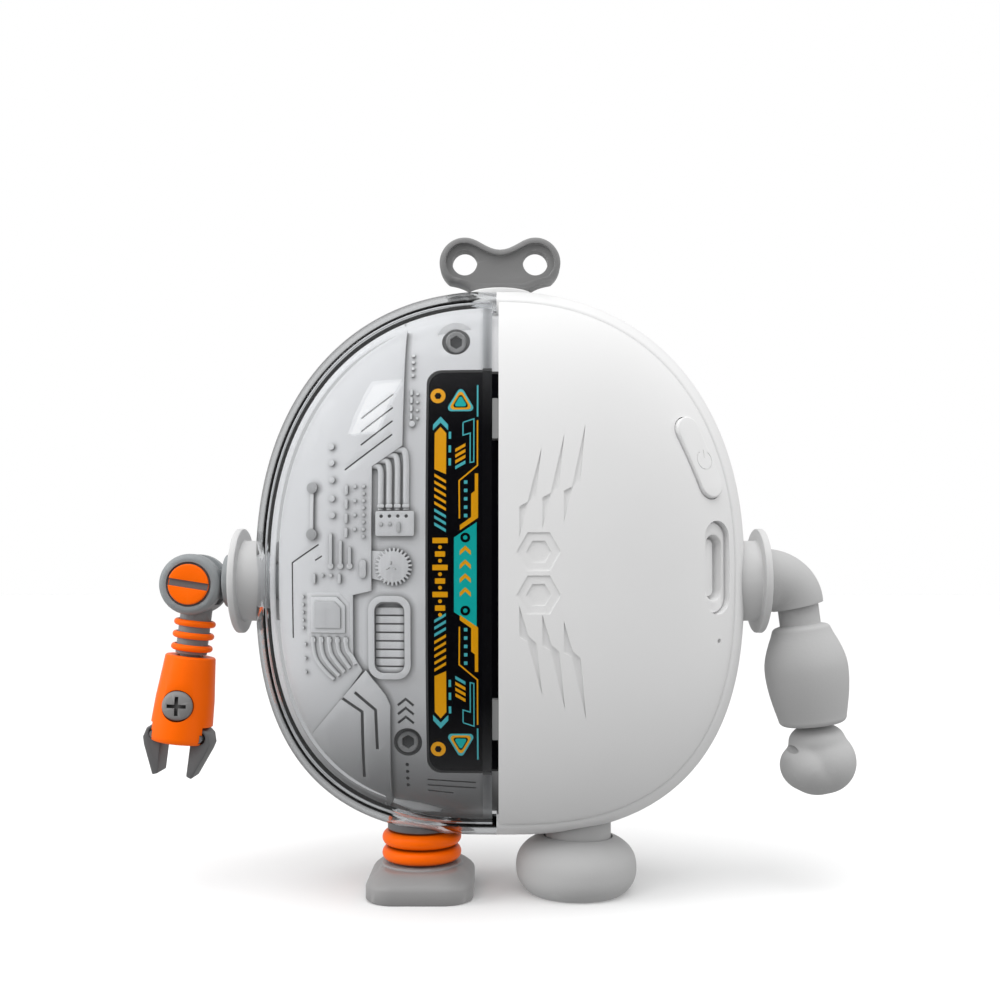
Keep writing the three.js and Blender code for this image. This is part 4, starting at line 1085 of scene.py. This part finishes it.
# ---- shoulders ----
def shoulders():
    ring = [(2.9, 33.3), (6, 33.3), (6, 38.2), (7.8, 38.2), (7.8, 39.2), (2.9, 39.2)]
    for side, name in ((-1, "left"), (1, "right")):
        lathe(f"shoulder_flange_{name}", soft_edge(ring, 0.22), sideways(side), SHADED_FLANGE, "body",
              "white_plastic", f"shoulder_disc_{name}", angle=32, steps=72)


AXLE = [(0, 28.1), (3.0, 28.1), (3.8, 28.9), (3.8, 29.6), (2.6, 29.6), (2.6, 40), (0, 40)]


# ---- mechanical arm ----
FOREARM = Matrix.Translation(ELBOW) @ Matrix.Rotation(math.radians(ELBOW_TILT), 4, "Y")
FOREARM_AXIS = FOREARM @ Matrix.Translation((FOREARM_OFFSET, 0, 0))
ARM_RINGS, ARM_SCREW = (-5.75, -7.6, -9.45), -17.9  # distances below the elbow along the forearm
CLAW_PIVOT, CLAW_HALF = (3.3, -22.6), 2.2
TONGUE_HALF, FORK_HALF, FORK_ROOM, FORK_SWING = 1.2, 1.5, 4.03, (-44, 133)


def forward_at(u, z):
    """A frame on the forearm whose Z looks to the front."""
    return FOREARM_AXIS @ Matrix.Translation((u, 0, z)) @ Matrix.Rotation(math.pi / 2, 4, "X")


def upper_arm_left():
    mesh = bmesh.new()
    profile = AXLE[:-2] + [(2.6, 39.5), (3.95, 39.5), (3.95, 40.9), (0, 40.9)]
    turned(mesh, soft_edge(profile, 0.25), sideways(-1))
    arm = make("arm_stub_left", mesh, DARK, 40)
    tongue = bmesh.new()
    prism(tongue, arc(ELBOW.x, ELBOW.z, 3.6, 38, 322, 30) + [(-40.6, ELBOW.z - 2.2), (-40.6, ELBOW.z + 2.2)],
          along_y(), -TONGUE_HALF, TONGUE_HALF)
    carve(arm, tongue, "UNION")
    cuts = bmesh.new()
    rod(cuts, 1.6, -5, 5, along_y(ELBOW.x, ELBOW.z))
    carve(arm, cuts)
    soften(arm, 0.12)
    settle(arm, "left_upper_arm", "dark_grey", "upper_arm_left")


def forearm_left():
    """The elbow drum with its shaft, slotted for the upper arm's tongue over the whole swing of the elbow."""
    place = along_y(ELBOW.x, ELBOW.z)
    mesh = bmesh.new()
    wheel = [(0, -3.9), (3.9, -3.9), (4.5, -3.3), (4.5, 3.3), (3.9, 3.9), (0, 3.9)]
    turned(mesh, soft_edge(wheel, 0.25), place, 72)
    arm = make("elbow_drum_left", mesh, DARK, 40)
    shaft = bmesh.new()
    turned(shaft, soft_edge([(0, -15), (1.6, -15), (1.6, -10.4), (2.3, -10.4), (2.3, -2.6), (0, -2.6)], 0.1),
           FOREARM_AXIS)
    carve(arm, shaft, "UNION")
    slot, seat = bmesh.new(), bmesh.new()
    start, end = FORK_SWING
    swept = arc(0, 0, 9, start, end, 24) + arc(0, 0, FORK_ROOM, end, start + 360, 40)
    prism(slot, swept, place, -FORK_HALF, FORK_HALF)
    carve(arm, slot)
    turned(seat, [(0, 3.2), (3.3, 3.2), (3.3, 8), (0, 8)], place, 64)
    carve(arm, seat)
    soften(arm, 0.16, 3)
    settle(arm, "left_forearm", "dark_grey", "forearm_left")


def elbow_pin():
    place = along_y(ELBOW.x, ELBOW.z)
    mesh = bmesh.new()
    profile = [(0, -2.6), (1.3, -2.6), (1.3, 3.5), (3, 3.5), (3, 4.2), (0, 4.2)]
    turned(mesh, soft_edge(profile, 0.3), place, 72)
    pin = make("elbow_cap_left", mesh, ORANGE, 40)
    cuts = bmesh.new()
    prism(cuts, rounded(8, 1.05, 0.05), place @ Matrix.Rotation(math.radians(-9), 4, "Z"), 3.72, 6)
    carve(pin, cuts)
    soften(pin, 0.07, 2)
    settle(pin, "left_forearm", "orange", "elbow_pin_left")
    # A dark plate at the bottom of the cap's slot: painted shade.
    mesh = bmesh.new()
    prism(mesh, rounded(5.7, 1.03, 0.05), place @ Matrix.Rotation(math.radians(-9), 4, "Z"), 3.5, 3.78)
    settle(make("elbow_slot_shade", mesh, CLAW), "left_forearm", "dark_grey")


def forearm_rings():
    for i, z in enumerate(ARM_RINGS):
        section = [(2.5, z - 0.42)] + arc(2.55, z, 0.5, -80, 80, 14) + [(2.5, z + 0.42)]
        lathe(f"arm_ring_{i + 1}", section, FOREARM_AXIS, ORANGE, "left_forearm", "orange",
              f"forearm_ring_{i + 1}", angle=60, steps=64)


def claw_rod(mesh, side, radius, half):
    u, z = CLAW_PIVOT
    rod(mesh, radius, -half, half, forward_at(side * u, z), 28)


def barrel():
    mesh = bmesh.new()
    wall = [(3.66, -10.7), (3.98, -14), (4.3, -17.15), (4.48, -20.4), (4.55, -23.0), (4.3, -23.6)]
    profile = [(0, -15.4), (1.9, -15.4), (1.9, -10.7)] + wall + [(0, -23.6)]
    turned(mesh, soft_edge(profile, 0.3), FOREARM_AXIS, 80)
    can = make("arm_barrel_left", mesh, ORANGE, 40)
    cuts = bmesh.new()
    for side in (-1, 1):
        low, high = sorted((side * 1.5, side * 7))
        prism(cuts, [(low, -26), (high, -26), (high, -20.9), (low, -20.9)], forward_at(0, 0), -2.5, 2.5)
    rod(cuts, 2.35, 3.5, 7, forward_at(0, ARM_SCREW), 48)
    carve(can, cuts)
    cuts = bmesh.new()
    for side in (-1, 1):
        claw_rod(cuts, side, 0.7, 2.85)
    carve(can, cuts)
    soften(can, 0.1, 2)
    settle(can, "left_barrel", "orange", "barrel_left")


def barrel_screw():
    place = forward_at(0, ARM_SCREW)
    mesh = bmesh.new()
    head = [(0, 3.8), (2.25, 3.8), (2.25, 4.05), (2.05, 4.3), (1.6, 4.5), (0.8, 4.62), (0, 4.65)]
    turned(mesh, head, place, 56)
    screw = make("arm_screw_left", mesh, SCREW_GREY, 50)
    cuts = bmesh.new()
    arms = []
    for turn in (0, 90, 180, 270):
        a = math.radians(turn)
        for u, v in ((0.28, 0.28), (1.4, 0.26), (1.4, -0.26)):
            arms.append((u * math.cos(a) + v * math.sin(a), u * math.sin(a) - v * math.cos(a)))
    prism(cuts, arms, place @ Matrix.Rotation(math.radians(5), 4, "Z"), 3.95, 6)
    carve(screw, cuts)
    soften(screw, 0.05, 2)
    settle(screw, "left_barrel", "key_grey", "barrel_screw_left")


CLAW_OUTLINE = [(2.1, -21.8), (2.1, -28.4), (2.9, -28.7), (4.7, -24.4), (5.0, -23.3), (4.6, -21.9),
                (3.9, -21.3), (2.5, -21.3)]


def claws():
    for side, name in ((-1, "outer"), (1, "inner")):
        mesh = bmesh.new()
        prism(mesh, [(side * u, z) for u, z in CLAW_OUTLINE], forward_at(0, 0), -CLAW_HALF, CLAW_HALF)
        blade = make(f"claw_blade_{name}", mesh, CLAW, 35)
        cuts = bmesh.new()
        claw_rod(cuts, side, 0.9, 5)
        carve(blade, cuts)
        soften(blade, 0.18, 3)
        settle(blade, f"left_claw_{name}", "claw_grey", f"claw_{name}")
        mesh = bmesh.new()
        claw_rod(mesh, side, 0.6, 2.8)
        settle(make(f"claw_pivot_{name}", mesh, CLAW), "left_barrel", "screw_steel", f"claw_pin_{name}")


# ---- soft arm ----
SOFT_ARM = Matrix.Translation(FORE_TOP) @ Matrix.Rotation(math.radians(FORE_TILT), 4, "Y")


SLEEVE_PIVOT, SLEEVE_SWEEP = Vector((40.7, 0, 41.5)), 77
SLEEVE_PATH, SLEEVE_PATH_END = 4.75, 3.98  # how far the bend's middle line is from its pivot
SLEEVE_RADIUS, SLEEVE_RADIUS_END = 4.7, 3.85


def sleeve_ring(mesh, x, along, radius, steps=56):
    """One ring of the sleeve: upright at x, or part of the way along the bend."""
    ring = []
    for k in range(steps):
        a = 2 * math.pi * k / steps
        if along is None:
            place = (x, radius * math.sin(a), 46.25 + radius * math.cos(a))
        else:
            path = SLEEVE_PATH - (SLEEVE_PATH - SLEEVE_PATH_END) * along
            reach = path + radius * math.cos(a)
            turn = math.radians(90 - SLEEVE_SWEEP * along)
            place = (SLEEVE_PIVOT.x + reach * math.cos(turn), radius * math.sin(a),
                     SLEEVE_PIVOT.z + reach * math.sin(turn))
        ring.append(mesh.verts.new(place))
    return ring


def sleeve():
    """The shoulder stub and the quarter bend, swept as one skin."""
    mesh = bmesh.new()
    rings, round_steps, bends = [], 56, 30
    sections = [(39.5, None, 4.6), (39.62, None, SLEEVE_RADIUS), (40.1, None, SLEEVE_RADIUS)]
    for i in range(bends + 1):
        sections.append((None, i / bends, SLEEVE_RADIUS - (SLEEVE_RADIUS - SLEEVE_RADIUS_END) * i / bends))
    for x, along, radius in sections:
        ring = sleeve_ring(mesh, x, along, radius, round_steps)
        rings.append(ring)
    for a, b in zip(rings, rings[1:]):
        for k in range(round_steps):
            j = (k + 1) % round_steps
            mesh.faces.new((a[k], a[j], b[j], b[k]))
    mesh.faces.new(rings[0][::-1])
    mesh.faces.new(rings[-1])
    bmesh.ops.remove_doubles(mesh, verts=mesh.verts[:], dist=0.004)
    arm = make("sleeve_right", mesh, SOFT, 40)
    cuts = bmesh.new()
    turned(cuts, [(0, 5.5), (2.5, 5.5), (2.5, 3.7), (3.35, 3.7), (3.35, 0), (0, 0)], SOFT_ARM, 56)
    carve(arm, cuts)
    soften(arm, 0.2, 3, 50)
    axle = bmesh.new()
    turned(axle, AXLE, SIDEWAYS)
    carve(arm, axle, "UNION", 40)
    settle(arm, "right_upper_arm", "soft_grey", "upper_arm_right")


def forearm_right():
    """A soft barrel, fuller above its middle, with a neck above and a socket for the fist below."""
    profile = [(0, 5.2), (2.2, 5.2), (2.2, 3.3), (3, 3.3), (3, 0.15), (3.5, 0.02)]
    length, top, widest, low = 14.8, 4.35, 6.1, 5.0
    profile += arc(top - 0.9, -0.9, 0.9, 80, 10, 6)
    steps = 26
    for i in range(1, steps + 1):
        t = i / steps
        if t < 0.45:
            radius = top + (widest - top) * math.sin(t / 0.45 * math.pi / 2)
        else:
            radius = low + (widest - low) * math.cos((t - 0.45) / 0.55 * math.pi / 2)
        profile.append((radius, -0.9 - t * (length - 1.8)))
    profile += arc(low - 0.9, 0.9 - length, 0.9, -10, -80, 6)
    profile += [(2.3, -length), (2.3, 3.6 - length), (0, 3.6 - length)]
    lathe("forearm_soft", profile, SOFT_ARM, SOFT, "right_forearm", "soft_grey", "forearm_right", angle=50,
          steps=72)


def ball(mesh, centre, size, tilt=0.0):
    place = SOFT_ARM @ Matrix.Translation(centre) @ Matrix.Rotation(math.radians(tilt), 4, "Y")
    place = place @ Matrix.Diagonal((*size, 1))
    bmesh.ops.create_uvsphere(mesh, u_segments=48, v_segments=32, radius=1, matrix=place)


def fist():
    """A mitten fist: a full round hand, with the thumb curled up to the wrist on the body's side."""
    mesh = bmesh.new()
    ball(mesh, (0.75, 0.1, -20.6), (4.85, 5.1, 4.85), 10)
    ball(mesh, (0.2, 0.0, -17.4), (4.2, 4.2, 2.7))
    ball(mesh, (-1.9, -0.6, -21.0), (4.0, 4.5, 3.7), 22)
    ball(mesh, (-3.0, -1.0, -20.0), (2.7, 3.2, 2.2), 16)
    ball(mesh, (-0.4, 0.0, -21.5), (4.5, 4.8, 4.0))
    hand = make("fist_right", mesh, SOFT, 60)
    remesh = hand.modifiers.new("skin", "REMESH")
    remesh.mode, remesh.voxel_size = "VOXEL", 0.22 * MM
    smooth = hand.modifiers.new("smooth", "SMOOTH")
    smooth.factor, smooth.iterations = 0.7, 26
    bake(hand, 180)
    crease = bmesh.new()
    ball(crease, (-4.4, -2.1, -17.7), (1.2, 2.2, 0.6), 30)
    carve(hand, crease, angle=180)
    wrist = bmesh.new()
    turned(wrist, [(0, -18), (2, -18), (2, -11.6), (0, -11.6)], SOFT_ARM, 40)
    carve(hand, wrist, "UNION", 60)
    settle(hand, "right_hand", "soft_grey", "hand_right")


# ---- legs ----
def leg_profile(body):
    return body + [(2.6, 10.8), (2.6, 16.8), (3.4, 16.8), (3.4, 17.5), (2.6, 18.3), (0, 18.3)]


LEG_RINGS, LEG_RING_HALF = (("upper", 8.0), ("lower", 5.7)), 1.0


def legs():
    """The hip bushes, the ringed left leg and the plain right one."""
    bush = soft_edge([(2.9, 11.1), (5.2, 11.1), (5.2, 16.5), (2.9, 16.5)], 0.3)
    for side, name in ((-1, "left"), (1, "right")):
        lathe(f"hip_bush_{name}", bush, upright(side * HIP_X), WHITE, "body", "white_plastic",
              f"hip_socket_{name}")
    left, right = upright(-HIP_X), upright(HIP_X)
    core = leg_profile([(0, 2.2), (3.6, 2.2), (3.6, 9.3), (5.1, 9.3), (5.1, 10.8)])
    lathe("leg_core_left", soft_edge(core, 0.2), left, CLAW, "left_leg", "dark_grey", "leg_left", angle=40)
    for name, z in LEG_RINGS:
        section = [(3.9, z - LEG_RING_HALF)] + arc(4.82, z, 1.08, -82, 82, 18) + [(3.9, z + LEG_RING_HALF)]
        lathe(f"leg_band_{name}", section, left, ORANGE, "left_leg", "orange", f"leg_ring_{name}", angle=60,
              steps=80)
    core = leg_profile([(0, 6.3), (4.9, 6.3), (4.9, 10.8)])
    lathe("leg_core_right", soft_edge(core, 0.2), right, SOFT, "right_leg", "soft_grey", "leg_right",
          angle=40, steps=64)


def foot_left():
    """A shoe block: upright sides, a soft slope to the top, and a raised collar round the leg."""
    mesh = bmesh.new()
    levels = [(0, 0.3), (0.3, 0), (2.0, 0), (2.35, 0.1), (2.8, 0.42), (3.5, 1.25), (3.95, 1.95), (4.1, 2.6)]
    rings = []
    for z, inset in levels:
        ring = rounded(15.6 - 2 * inset, 18.6 - 2 * inset, 4.2 - inset * 0.5, steps=10)
        rings.append([mesh.verts.new((x - HIP_X, y, z)) for x, y in ring])
    for a, b in zip(rings, rings[1:]):
        for i in range(len(a)):
            j = (i + 1) % len(a)
            mesh.faces.new((a[i], a[j], b[j], b[i]))
    mesh.faces.new(rings[0][::-1])
    mesh.faces.new(rings[-1])
    foot = make("shoe_left", mesh, SHOE, 50)
    collar = bmesh.new()
    turned(collar, soft_edge([(0, 3.0), (6.3, 3.0), (6.0, 4.35), (0, 4.35)], 0.25), upright(-HIP_X), 72)
    carve(foot, collar, "UNION", 50)
    cuts = bmesh.new()
    rod(cuts, 3.9, 1.8, 9, upright(-HIP_X), 48)
    carve(foot, cuts, angle=50)
    settle(foot, "left_leg", "dark_grey", "foot_left")


def foot_right():
    """A squashed round foot, flat underneath, with a socket for the leg."""
    mesh = bmesh.new()
    half_width, half_depth, centre, half_height, middle = 9.0, 9.3, 3.6, 5.2, 11.4
    roundness = 0.84  # 1 is a plain ellipsoid, less is boxier
    rows, columns = 40, 72
    rings = []
    start = -math.asin(power(centre / half_height, 1 / roundness))
    for i in range(rows + 1):
        lift = start + (math.pi / 2 - start) * i / rows
        z = centre + half_height * power(math.sin(lift), roundness)
        size = power(math.cos(lift), roundness) if i < rows else 0
        if size < 1e-6:
            rings.append([mesh.verts.new((middle, 0, z))])
            continue
        angles = [2 * math.pi * k / columns for k in range(columns)]
        rings.append([mesh.verts.new((middle + half_width * size * math.cos(a), half_depth * size * math.sin(a),
                                      max(0.0, z))) for a in angles])
    for a, b in zip(rings, rings[1:]):
        for k in range(columns):
            j = (k + 1) % columns
            corners = [a[k], a[j], b[j % len(b)], b[k % len(b)]]
            corners = [v for n, v in enumerate(corners) if v not in corners[:n]]
            mesh.faces.new(corners)
    mesh.faces.new(rings[0][::-1])
    foot = make("shoe_right", mesh, SOFT, 60)
    cuts = bmesh.new()
    rod(cuts, 5.2, 6, 20, upright(HIP_X), 64)
    carve(foot, cuts, angle=50)
    settle(foot, "right_leg", "soft_grey", "foot_right")


# ---- camera, floor and light ----
def camera():
    """Level, straight at the front, a little over the middle of the body."""
    data = bpy.data.cameras.new("camera")
    data.lens, data.sensor_width, data.shift_y = 40.68, 36, 0.075
    eye = bpy.data.objects.new("camera", data)
    bpy.context.scene.collection.objects.link(eye)
    eye.location = (0.0, -0.1695, 0.04707)
    eye.rotation_euler = (math.pi / 2, 0, 0)
    bpy.context.scene.camera = eye


def floor():
    mesh = bmesh.new()
    bmesh.ops.create_grid(mesh, x_segments=12, y_segments=12, size=2500)
    finish = bpy.data.materials.new("floor_white")
    finish.use_nodes = True
    shader = finish.node_tree.nodes["Principled BSDF"]
    shader.inputs["Base Color"].default_value = (0.97, 0.97, 0.97, 1)
    shader.inputs["Roughness"].default_value = 0.9
    plane = make("floor", mesh, finish)
    plane.visible_diffuse = False
    plane.visible_glossy = False
    plane.visible_transmission = False


def lamp(name, place, target, width, height, watts):
    data = bpy.data.lights.new(name, "AREA")
    data.shape, data.size, data.size_y, data.energy = "RECTANGLE", width, height, watts
    light = bpy.data.objects.new(name, data)
    bpy.context.scene.collection.objects.link(light)
    light.location = place
    light.rotation_euler = (Vector(target) - Vector(place)).to_track_quat("-Z", "Y").to_euler()
    return light


def lights():
    """A soft high sun, a wide fill in front, a box at each side, and a bright ceiling over the ground."""
    data = bpy.data.lights.new("sun", "SUN")
    data.energy, data.angle = 1.35, math.radians(55)
    sun = bpy.data.objects.new("sun", data)
    sun.rotation_euler = Vector((0, 0.35, -1)).to_track_quat("-Z", "Y").to_euler()
    bpy.context.scene.collection.objects.link(sun)
    fill = lamp("fill", (0, -1.0, 0.35), (0, 0, 0.05), 0.8, 0.8, 1.7)
    left = lamp("left", (-0.45, -0.12, 0.16), (-0.02, 0, 0.05), 0.2, 0.3, 0.8)
    right = lamp("right", (0.45, -0.1, 0.16), (0.02, 0, 0.05), 0.2, 0.3, 0.35)
    for light in (sun, fill, left, right):
        light.visible_glossy = False
        light.visible_transmission = False
    lamp("glint", (-0.36, -0.42, 0.45), (0, 0, 0.05), 0.15, 0.2, 0.3)
    studio_world()
    bpy.context.scene.view_settings.view_transform = "Standard"


# brightness of the room by height, from straight down (0) to straight up (1)
ROOM_LEVELS = ((0.0, 0.5), (0.36, 0.46), (0.47, 0.5), (0.6, 0.6), (1.0, 0.78))


def studio_world():
    """White for the camera; a grey room for the light, dimmer straight ahead and more so in reflections."""
    world = bpy.data.worlds.new("studio")
    bpy.context.scene.world = world
    world.use_nodes = True
    tree = world.node_tree
    backdrop = tree.nodes["Background"]
    backdrop.inputs["Color"].default_value = (1, 1, 1, 1)
    split = node(tree, "SeparateXYZ", Vector=node(tree, "TexCoord").outputs["Generated"])
    ramp = node(tree, "ValToRGB", Fac=ranged(tree, split.outputs["Z"], -1, 1, 0, 1))
    while len(ramp.color_ramp.elements) < len(ROOM_LEVELS):
        ramp.color_ramp.elements.new(0.5)
    for element, (position, level) in zip(ramp.color_ramp.elements, ROOM_LEVELS):
        element.position, element.color = position, (level, level, level, 1)
    path = node(tree, "LightPath")
    lit = ranged(tree, split.outputs["Y"], -0.95, -0.7, 0.12, 1)
    mirrored_light = ranged(tree, split.outputs["Y"], -0.9, -0.3, 0.05, 1)
    strength = node(tree, "Mix", Factor=path.outputs["Is Glossy Ray"], A=lit, B=mirrored_light)
    room = node(tree, "Background", Color=ramp.outputs["Color"], Strength=strength.outputs["Result"])
    both = node(tree, "MixShader", Fac=path.outputs["Is Camera Ray"])
    tree.links.new(room.outputs["Background"], both.inputs[1])
    tree.links.new(backdrop.outputs["Background"], both.inputs[2])
    tree.links.new(both.outputs["Shader"], tree.nodes["World Output"].inputs["Surface"])


camera()
floor()
lights()
casing()
rim_seal()
seam_clips()
face_panel()
plates()
relief()
pipes()
chip()
connector()
gear()
vent()
panel_screws()
printed_strip()
insides()
port_and_button()
wind_key()
shoulders()
upper_arm_left()
forearm_left()
elbow_pin()
forearm_rings()
barrel()
barrel_screw()
claws()
sleeve()
forearm_right()
fist()
legs()
foot_left()
foot_right()
